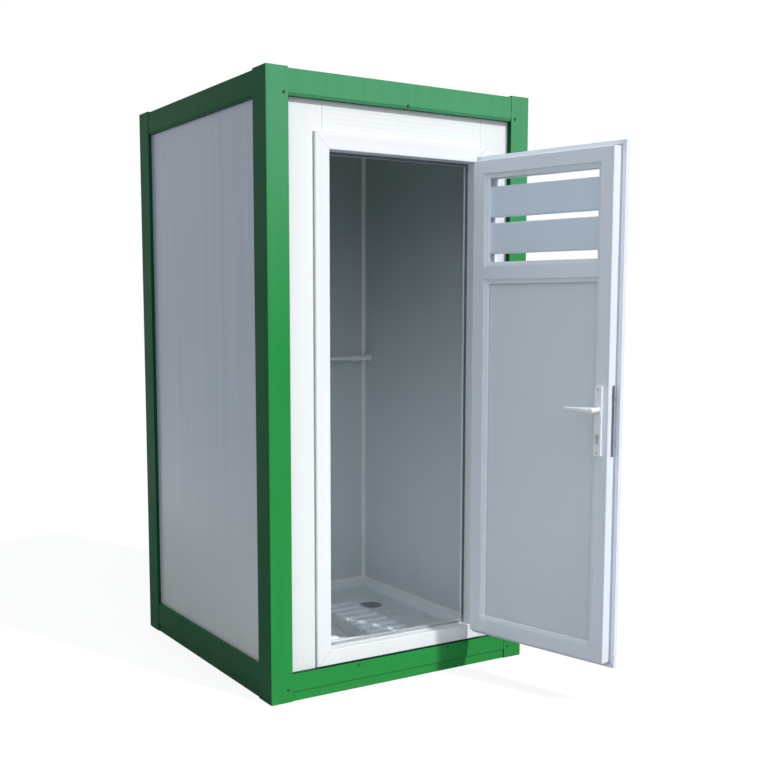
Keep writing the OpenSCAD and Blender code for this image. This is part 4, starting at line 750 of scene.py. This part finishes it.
def piece(name, bm, slot, body, look=None, angle=35.0, replaces=None):
    for face in bm.faces:
        face.smooth = True
    mesh = bpy.data.meshes.new(name)
    bm.to_mesh(mesh)
    bm.free()
    mesh.set_sharp_from_angle(angle=math.radians(angle))
    mesh.materials.append(looks[look or slot])
    obj = bpy.data.objects.new(name, mesh)
    scene.collection.objects.link(obj)
    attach(obj, body)
    if replaces:
        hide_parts(replaces)
    print(name, "rides on", body, "-", len(mesh.polygons), "faces")


print("leaf swung about", tuple(HINGE))

# %% [markdown]
# ## Sizes of the door
# The small pieces take their places from a few levels of the door, which is drawn shut: where the
# outside of the frame and of the leaf lies, how far the members reach, and how high the lock sits. The
# small numbers further down are offsets from these, or the drawn section of a bead, a ring or a screw.

# %% Door sizes
WALL_Y, FRAME_Y = -576.0, -590.0
LEAF_Y, LEAF_SEAT_Y, LEAF_ROOM_Y = -611.0, -591.0, -551.0
INFILL_Y = -571.0
FRAME_HALF, FRAME_LOW, FRAME_HIGH, FRAME_WIDE = 367.0, 105.0, 1996.0, 54.0
LEAF_HALF, LEAF_LOW, LEAF_HIGH, LEAF_WIDE = 303.0, 167.0, 1934.0, 48.0
DOOR_MID = (FRAME_LOW + FRAME_HIGH) / 2
OPENING_HALF = 312.0
BAY_W = 508.0
BAYS = ((1286.0, 859.0), (335.0, 1717.5))
LOCK_X, LOCK_Y, LOCK_MID, LEVER_Z = -267.0, -579.0, 1013.0, 1052.0
print("frame", 2 * FRAME_HALF, "by", FRAME_HIGH - FRAME_LOW, "mm, middle at", DOOR_MID, "mm")

# %% [markdown]
# ## Glazing beads
# The infill of the leaf is held by beads that clip in beside the profile. Seen from the room they sit a
# little lower than the profile, so its inner edge shows as a bright step where it faces the light. A
# mitred ring is made from one rectangle: inset it again and again, shift the inner face a little each
# time, and the insets draw the section of the bead with clean mitres in its corners. The hole is cut
# last and the back is closed by bridging the two loops. The bays of the infill and of the louvre are
# given by their height and their middle.

# %% Stepped ring and the beads
def stepped_ring(width, height, level, steps, back):
    # Each step is a pair: how far the next inset goes inward, and how far the inner face is shifted then
    bm = bmesh.new()
    bmesh.ops.create_grid(bm, x_segments=1, y_segments=1, size=0.5 * MM)
    bmesh.ops.scale(bm, vec=(width, height, 1.0), verts=bm.verts)
    bmesh.ops.translate(bm, vec=(0, 0, level * MM), verts=bm.verts)
    bm.faces.ensure_lookup_table()
    centre = bm.faces[0]
    for inward, lift in steps:
        bmesh.ops.inset_region(bm, faces=[centre], thickness=inward * MM, use_even_offset=True,
                               use_boundary=True)
        bmesh.ops.translate(bm, vec=(0, 0, lift * MM), verts=centre.verts)
    bmesh.ops.delete(bm, geom=[centre], context="FACES")
    rims = [e for e in bm.edges if e.is_boundary]
    lower = bmesh.ops.extrude_edge_only(bm, edges=rims)["geom"]
    for v in lower:
        if isinstance(v, bmesh.types.BMVert):
            v.co.z = back * MM
    bmesh.ops.bridge_loops(bm, edges=[e for e in bm.edges if e.is_boundary])
    bmesh.ops.recalc_face_normals(bm, faces=bm.faces)
    return bm


def upright(bm, middle, swing=False):
    # Stands a flat ring up on the door's middle line: its level becomes Y, its middle goes to a height
    place = Matrix.Translation((0, 0, middle * MM)) @ Matrix.Rotation(math.radians(-90.0), 4, "X")
    bmesh.ops.transform(bm, matrix=(SWUNG @ place) if swing else place, verts=bm.verts)
    return bm


def merged(parts):
    bm = bmesh.new()
    for part in parts:
        mesh = bpy.data.meshes.new("part")
        part.to_mesh(mesh)
        part.free()
        bm.from_mesh(mesh)
        bpy.data.meshes.remove(mesh)
    return bm


bead_y = -558.6
bead = [(0.5, 0.5), (12.3, -1.4), (1.5, -0.8), (1.2, -1.8), (0.5, -3.0)]
rings = [upright(stepped_ring(BAY_W, tall, bead_y, bead, INFILL_Y), mid, swing=True) for tall, mid in BAYS]
piece("glazing_beads_fitted", merged(rings), "leaf_plastic", "door", look="bead_white_highlight",
      replaces="glazing_beads")

gasket_in, gasket_y = 15.8, -568.5
gasket = [(0.4, 0.5), (1.0, 0.0), (0.4, -0.5)]
infill_h, infill_mid = BAYS[0]
ring = stepped_ring(BAY_W - 2 * gasket_in, infill_h - 2 * gasket_in, gasket_y, gasket, INFILL_Y)
piece("infill_gasket", upright(ring, infill_mid, swing=True), "seal_rubber", "door", look="pale_rubber")

# %% [markdown]
# ## Seals and sealant
# A strip of seal lies on the inside of the leaf's flange, next to the body of the profile, and closes the
# last gap on the frame. It is one more mitred ring. Outside, grey sealant fills the joint between the
# frame and the wall on three sides; its grey is also painted shade along the side of the frame. It starts
# as the same ring, and bisect_plane cuts the bottom member off, because the frame stands on the steel
# beam there. In the room a bead of sealant closes the top of the tray's trims.

# %% Seal of the leaf, joints of the frame and the tray
seal_out, seal_proud = 8.0, 0.2
seal = [(0.8, 0.5), (4.4, 0.0), (0.8, -0.5)]
ring = stepped_ring(2 * (LEAF_HALF + seal_out), LEAF_HIGH - LEAF_LOW + 2 * seal_out,
                    LEAF_SEAT_Y + seal_proud, seal, LEAF_SEAT_Y)
piece("leaf_edge_seal", upright(ring, DOOR_MID, swing=True), "seal_rubber", "door", look="pale_rubber")

joint_out, joint_proud, joint_sunk = 4.6, 0.3, 0.1
joint = [(0.6, -0.9), (1.4, -1.6), (1.6, -0.9)]
ring = stepped_ring(2 * (FRAME_HALF + joint_out), FRAME_HIGH - FRAME_LOW + 2 * joint_out,
                    WALL_Y - joint_proud, joint, WALL_Y + joint_sunk)
bm = upright(ring, DOOR_MID)
everything = bm.verts[:] + bm.edges[:] + bm.faces[:]
cut = bmesh.ops.bisect_plane(bm, geom=everything, plane_co=(0, 0, FRAME_LOW * MM), plane_no=(0, 0, -1),
                             clear_outer=True)
ends = [e for e in cut["geom_cut"] if isinstance(e, bmesh.types.BMEdge)]
bmesh.ops.holes_fill(bm, edges=ends, sides=0)
bmesh.ops.recalc_face_normals(bm, faces=bm.faces)
# The sealant's grey is also painted shade along the side of the frame.
piece("frame_joint", bm, "trim_plastic", "cabin", look="joint_grey_shade")

room_w, room_d, trim_top = 1012.0, 1072.0, 102.0
line_in, line_low = 0.1, 3.0
tray_line = [(0.8, -0.3), (1.2, -1.2), (0.8, -1.2)]
ring = stepped_ring(room_w - 2 * line_in, room_d - 2 * line_in, trim_top - line_in, tray_line,
                    trim_top - line_low)
piece("tray_sealant", ring, "trim_plastic", "cabin")

# %% [markdown]
# ## Welded corners
# The members of the frame and of the leaf are cut at 45 degrees and welded, which leaves a thin line
# across each corner. A line is a slim rod, flattened until it is hardly proud of the face, and turned
# into the diagonal.

# %% Weld lines
WELD_R, WELD_FLAT = 0.7, 0.25


def weld_line(corner, inner, y, swing):
    a, b = Vector((corner[0], y, corner[1])) * MM, Vector((inner[0], y, inner[1])) * MM
    bm = bmesh.new()
    bmesh.ops.create_cone(bm, cap_ends=True, segments=8, radius1=WELD_R * MM, radius2=WELD_R * MM,
                          depth=(b - a).length)
    bmesh.ops.transform(bm, matrix=(b - a).to_track_quat("Z", "Y").to_matrix().to_4x4(), verts=bm.verts)
    bmesh.ops.scale(bm, vec=(1.0, WELD_FLAT, 1.0), verts=bm.verts)
    bmesh.ops.translate(bm, vec=(a + b) / 2, verts=bm.verts)
    if swing:
        bmesh.ops.transform(bm, matrix=SWUNG, verts=bm.verts)
    return bm


def mitres(half, low, high, wide, y, swing=False):
    ends = ((low, low + wide), (high, high - wide))
    return merged([weld_line((side * half, outer), (side * (half - wide), inner), y, swing)
                   for side in (-1, 1) for outer, inner in ends])


lines = mitres(FRAME_HALF, FRAME_LOW, FRAME_HIGH, FRAME_WIDE, FRAME_Y)
piece("frame_weld_lines", lines, "frame_plastic", "cabin", look="weld_grey")
lines = mitres(LEAF_HALF, LEAF_LOW, LEAF_HIGH, LEAF_WIDE, LEAF_ROOM_Y, swing=True)
piece("leaf_weld_lines", lines, "leaf_plastic", "door")

# %% [markdown]
# ## Screws
# Screw heads are small, but their absence is what makes a door look like a toy. One head is made
# carefully: a short cylinder with a rounded rim, a recess drawn by pulling the diagonal points of an
# inset face towards the middle, then sunk. That mesh is copied wherever a screw sits: eight on each
# hinge, two on each handle plate, on the strike, on the faceplate and on each pipe clip. The roof sheet
# has hexagon heads on washers instead, along its ribs.

# %% Screw heads
SLOT_CORNER, SLOT_PULL = 0.55, 0.45


def cross_head(radius, height):
    bm = bmesh.new()
    rod(bm, 24, radius, radius, height)
    bmesh.ops.bevel(bm, geom=list(top_face(bm).edges), offset=0.7 * height * MM, segments=3, profile=0.5,
                    affect="EDGES", material=-1)
    top = top_face(bm)
    bmesh.ops.inset_region(bm, faces=[top], thickness=0.28 * radius * MM)
    for v in top.verts:
        if abs(math.sin(2 * math.atan2(v.co.y, v.co.x))) > SLOT_CORNER:
            v.co.xy *= SLOT_PULL
    bmesh.ops.inset_individual(bm, faces=[top], thickness=0.04 * radius * MM)
    bmesh.ops.translate(bm, vec=(0, 0, -0.7 * height * MM), verts=top.verts)
    return bm


def hexagon_head(radius, height, washer=1.4):
    bm = bmesh.new()
    rod(bm, 24, radius, 0.94 * radius, washer)
    bmesh.ops.inset_region(bm, faces=[top_face(bm)], thickness=0.12 * radius * MM)
    rod(bm, 6, 0.62 * radius, 0.62 * radius, height, foot=washer)
    bmesh.ops.bevel(bm, geom=list(top_face(bm).edges), offset=0.5 * MM, segments=2, profile=0.5,
                    affect="EDGES", material=-1)
    return bm


def placed(pattern, places, swing=False):
    shape = bpy.data.meshes.new("pattern")
    pattern.to_mesh(shape)
    pattern.free()
    bm = bmesh.new()
    for point, direction in places:
        before = len(bm.verts)
        bm.from_mesh(shape)
        bm.verts.ensure_lookup_table()
        where = aimed(point, direction)
        bmesh.ops.transform(bm, matrix=(SWUNG @ where) if swing else where, verts=bm.verts[before:])
    bpy.data.meshes.remove(shape)
    return bm


hinge_step, hinge_t = 720.0, 3.0
leaf_plate_x, frame_plate_x = 298.5, 341.0
pairs = [(-7, 38), (7, 16), (-7, -16), (7, -38)]
spots = [(x, DOOR_MID + step * hinge_step + z) for step in (-1, 0, 1) for x, z in pairs]
on_leaf = [((leaf_plate_x + x, LEAF_Y - hinge_t, z), FRONT) for x, z in spots]
on_frame = [((frame_plate_x + x, FRAME_Y - hinge_t, z), FRONT) for x, z in spots]
piece("hinge_screws_leaf", placed(cross_head(4.2, 1.1), on_leaf, swing=True), "lock_steel", "door")
piece("hinge_screws_frame", placed(cross_head(4.2, 1.1), on_frame), "lock_steel", "cabin")

plate_t, plate_reach, edge_reach, face_proud = 10.0, 109.0, 116.0, 1.0
plate_sides = ((LEAF_Y - plate_t, FRONT), (LEAF_ROOM_Y + plate_t, BACK))
on_plates = [((LOCK_X, y, LOCK_MID + side * plate_reach), way) for y, way in plate_sides for side in (-1, 1)]
piece("handle_plate_screws", placed(cross_head(3.4, 0.9), on_plates, swing=True), "lock_steel", "door")
on_edge = [((-LEAF_HALF - face_proud, LOCK_Y, LOCK_MID + side * edge_reach), LEFT) for side in (-1, 1)]
piece("faceplate_screws", placed(cross_head(3.0, 0.5), on_edge, swing=True), "lock_steel", "door")
on_strike = [((-OPENING_HALF, LOCK_Y, LOCK_MID + side * edge_reach), RIGHT) for side in (-1, 1)]
piece("strike_screws", placed(cross_head(3.0, 0.5), on_strike), "lock_steel", "cabin")

pipe_y, pipe_z = 484.0, 1165.0
clip_y, clip_half, pipe_clips, riser_clips = 532.0, 10.5, (90, 250), (1450, 1850)
on_clips = [((x, clip_y, pipe_z + side * clip_half), FRONT) for x in pipe_clips for side in (-1, 1)]
on_clips += [((side * clip_half, clip_y, z), FRONT) for z in riser_clips for side in (-1, 1)]
piece("pipe_clip_screws", placed(cross_head(2.3, 0.9), on_clips), "lock_steel", "cabin")

rib_pitch, rib_top, rib_rows = 180.0, 2192.0, (-545, -182, 182, 545)
on_roof = [((rib_pitch * i, y, rib_top), UP) for i in range(-2, 3) for y in rib_rows]
piece("roof_sheet_screws", placed(hexagon_head(7.5, 4.2), on_roof), "galvanised_steel", "cabin")

# %% [markdown]
# ## Turned pieces
# Rings and threads are drawn as a short section and spun round an axis. The collars at the foot of each
# lever hide the joint between lever and plate, and a dark ring lies in the dish round the waste as painted
# shade of the dish. The inlet's pipe thread is the same spin with a shift along the axis at each step, so
# that the section climbs, and its two ends are closed.

# %% Collars, waste ring and inlet thread
def ring_section(bm, points):
    verts = [bm.verts.new((r * MM, 0, z * MM)) for r, z in points]
    return verts + [bm.edges.new((a, b)) for a, b in zip(verts, verts[1:] + verts[:1])]


def spun_ring(points, steps=48):
    bm = bmesh.new()
    geom = ring_section(bm, points)
    bmesh.ops.spin(bm, geom=geom, cent=(0, 0, 0), axis=(0, 0, 1), angle=math.tau, steps=steps, use_merge=True)
    bmesh.ops.remove_doubles(bm, verts=bm.verts, dist=1e-7)
    bmesh.ops.recalc_face_normals(bm, faces=bm.faces)
    return bm


collar = [(9.5, 0), (9.5, 1.8), (10.4, 2.6), (11.6, 2.4), (13.2, 1.0), (13.4, 0)]
at_levers = [((LOCK_X, y, LEVER_Z), way) for y, way in plate_sides]
piece("lever_collars", placed(spun_ring(collar), at_levers, swing=True), "lever_white", "door")

waste_x, waste_y, dish_z, grate_half = 316.0, 165.0, 64.5, 38.5
dish_ring = [(45.8, 0), (45.8, 0.8), (46.6, 1.3), (51.2, 1.3), (52.3, 0.5), (52.3, 0)]
at_waste = [((waste_x, waste_y, dish_z), UP)]
# The dark ring is painted shade of the waste's dish.
piece("waste_dish_shade_ring", placed(spun_ring(dish_ring, 96), at_waste), "waste_grey", "cabin", look="dish_shade_grey")
on_grate = [((waste_x, waste_y + side * grate_half, dish_z), UP) for side in (-1, 1)]
piece("grate_screws", placed(cross_head(3.2, 0.9), on_grate), "lock_steel", "cabin")

turns, steps, lead = 11, 32, 2.1
thread_root, thread_crest, thread_x = 10.3, 11.25, 565.2
section = [(thread_root, -0.95), (thread_crest, -0.1), (thread_crest, 0.1), (thread_root, 0.95)]
bm = bmesh.new()
first = ring_section(bm, section)
climb = bmesh.ops.spin(bm, geom=first, cent=(0, 0, 0), axis=(0, 0, 1), angle=math.tau * turns,
                       steps=steps * turns, dvec=(0, 0, lead * MM / steps))
for end in (first, climb["geom_last"]):
    bmesh.ops.contextual_create(bm, geom=[g for g in end if isinstance(g, bmesh.types.BMEdge)])
bmesh.ops.recalc_face_normals(bm, faces=bm.faces)
bmesh.ops.transform(bm, matrix=aimed((thread_x, pipe_y, pipe_z), RIGHT), verts=bm.verts)
piece("inlet_thread", bm, "inlet_brass", "cabin", angle=50.0)

# %% [markdown]
# ## Shower nozzles
# Water leaves the shower head through soft tips that can be rubbed clean. Each tip is a small cone with
# its end face inset and pushed in, and three rings of them fill the underside of the head.

# %% Nozzle tips
head_y, head_z = 184.0, 1882.0
tip_pitch, tip_low, tip_top, tip_h, tip_sunk = 13.75, 2.3, 1.6, 2.0, 1.2

bm = bmesh.new()
rod(bm, 12, tip_low, tip_top, tip_h)
tip = top_face(bm)
bmesh.ops.inset_region(bm, faces=[tip], thickness=0.5 * MM)
bmesh.ops.inset_individual(bm, faces=[tip], thickness=0.1 * MM)
bmesh.ops.translate(bm, vec=(0, 0, -tip_sunk * MM), verts=tip.verts)
tips = []
for ring in (1, 2, 3):
    for i in range(6 * ring):
        turn = math.tau * i / (6 * ring)
        x, y = tip_pitch * ring * math.cos(turn), tip_pitch * ring * math.sin(turn)
        tips.append(((x, head_y + y, head_z), DOWN))
piece("shower_nozzles", placed(bm, tips), "seal_rubber", "shower_head")
print("nozzle tips:", len(tips))
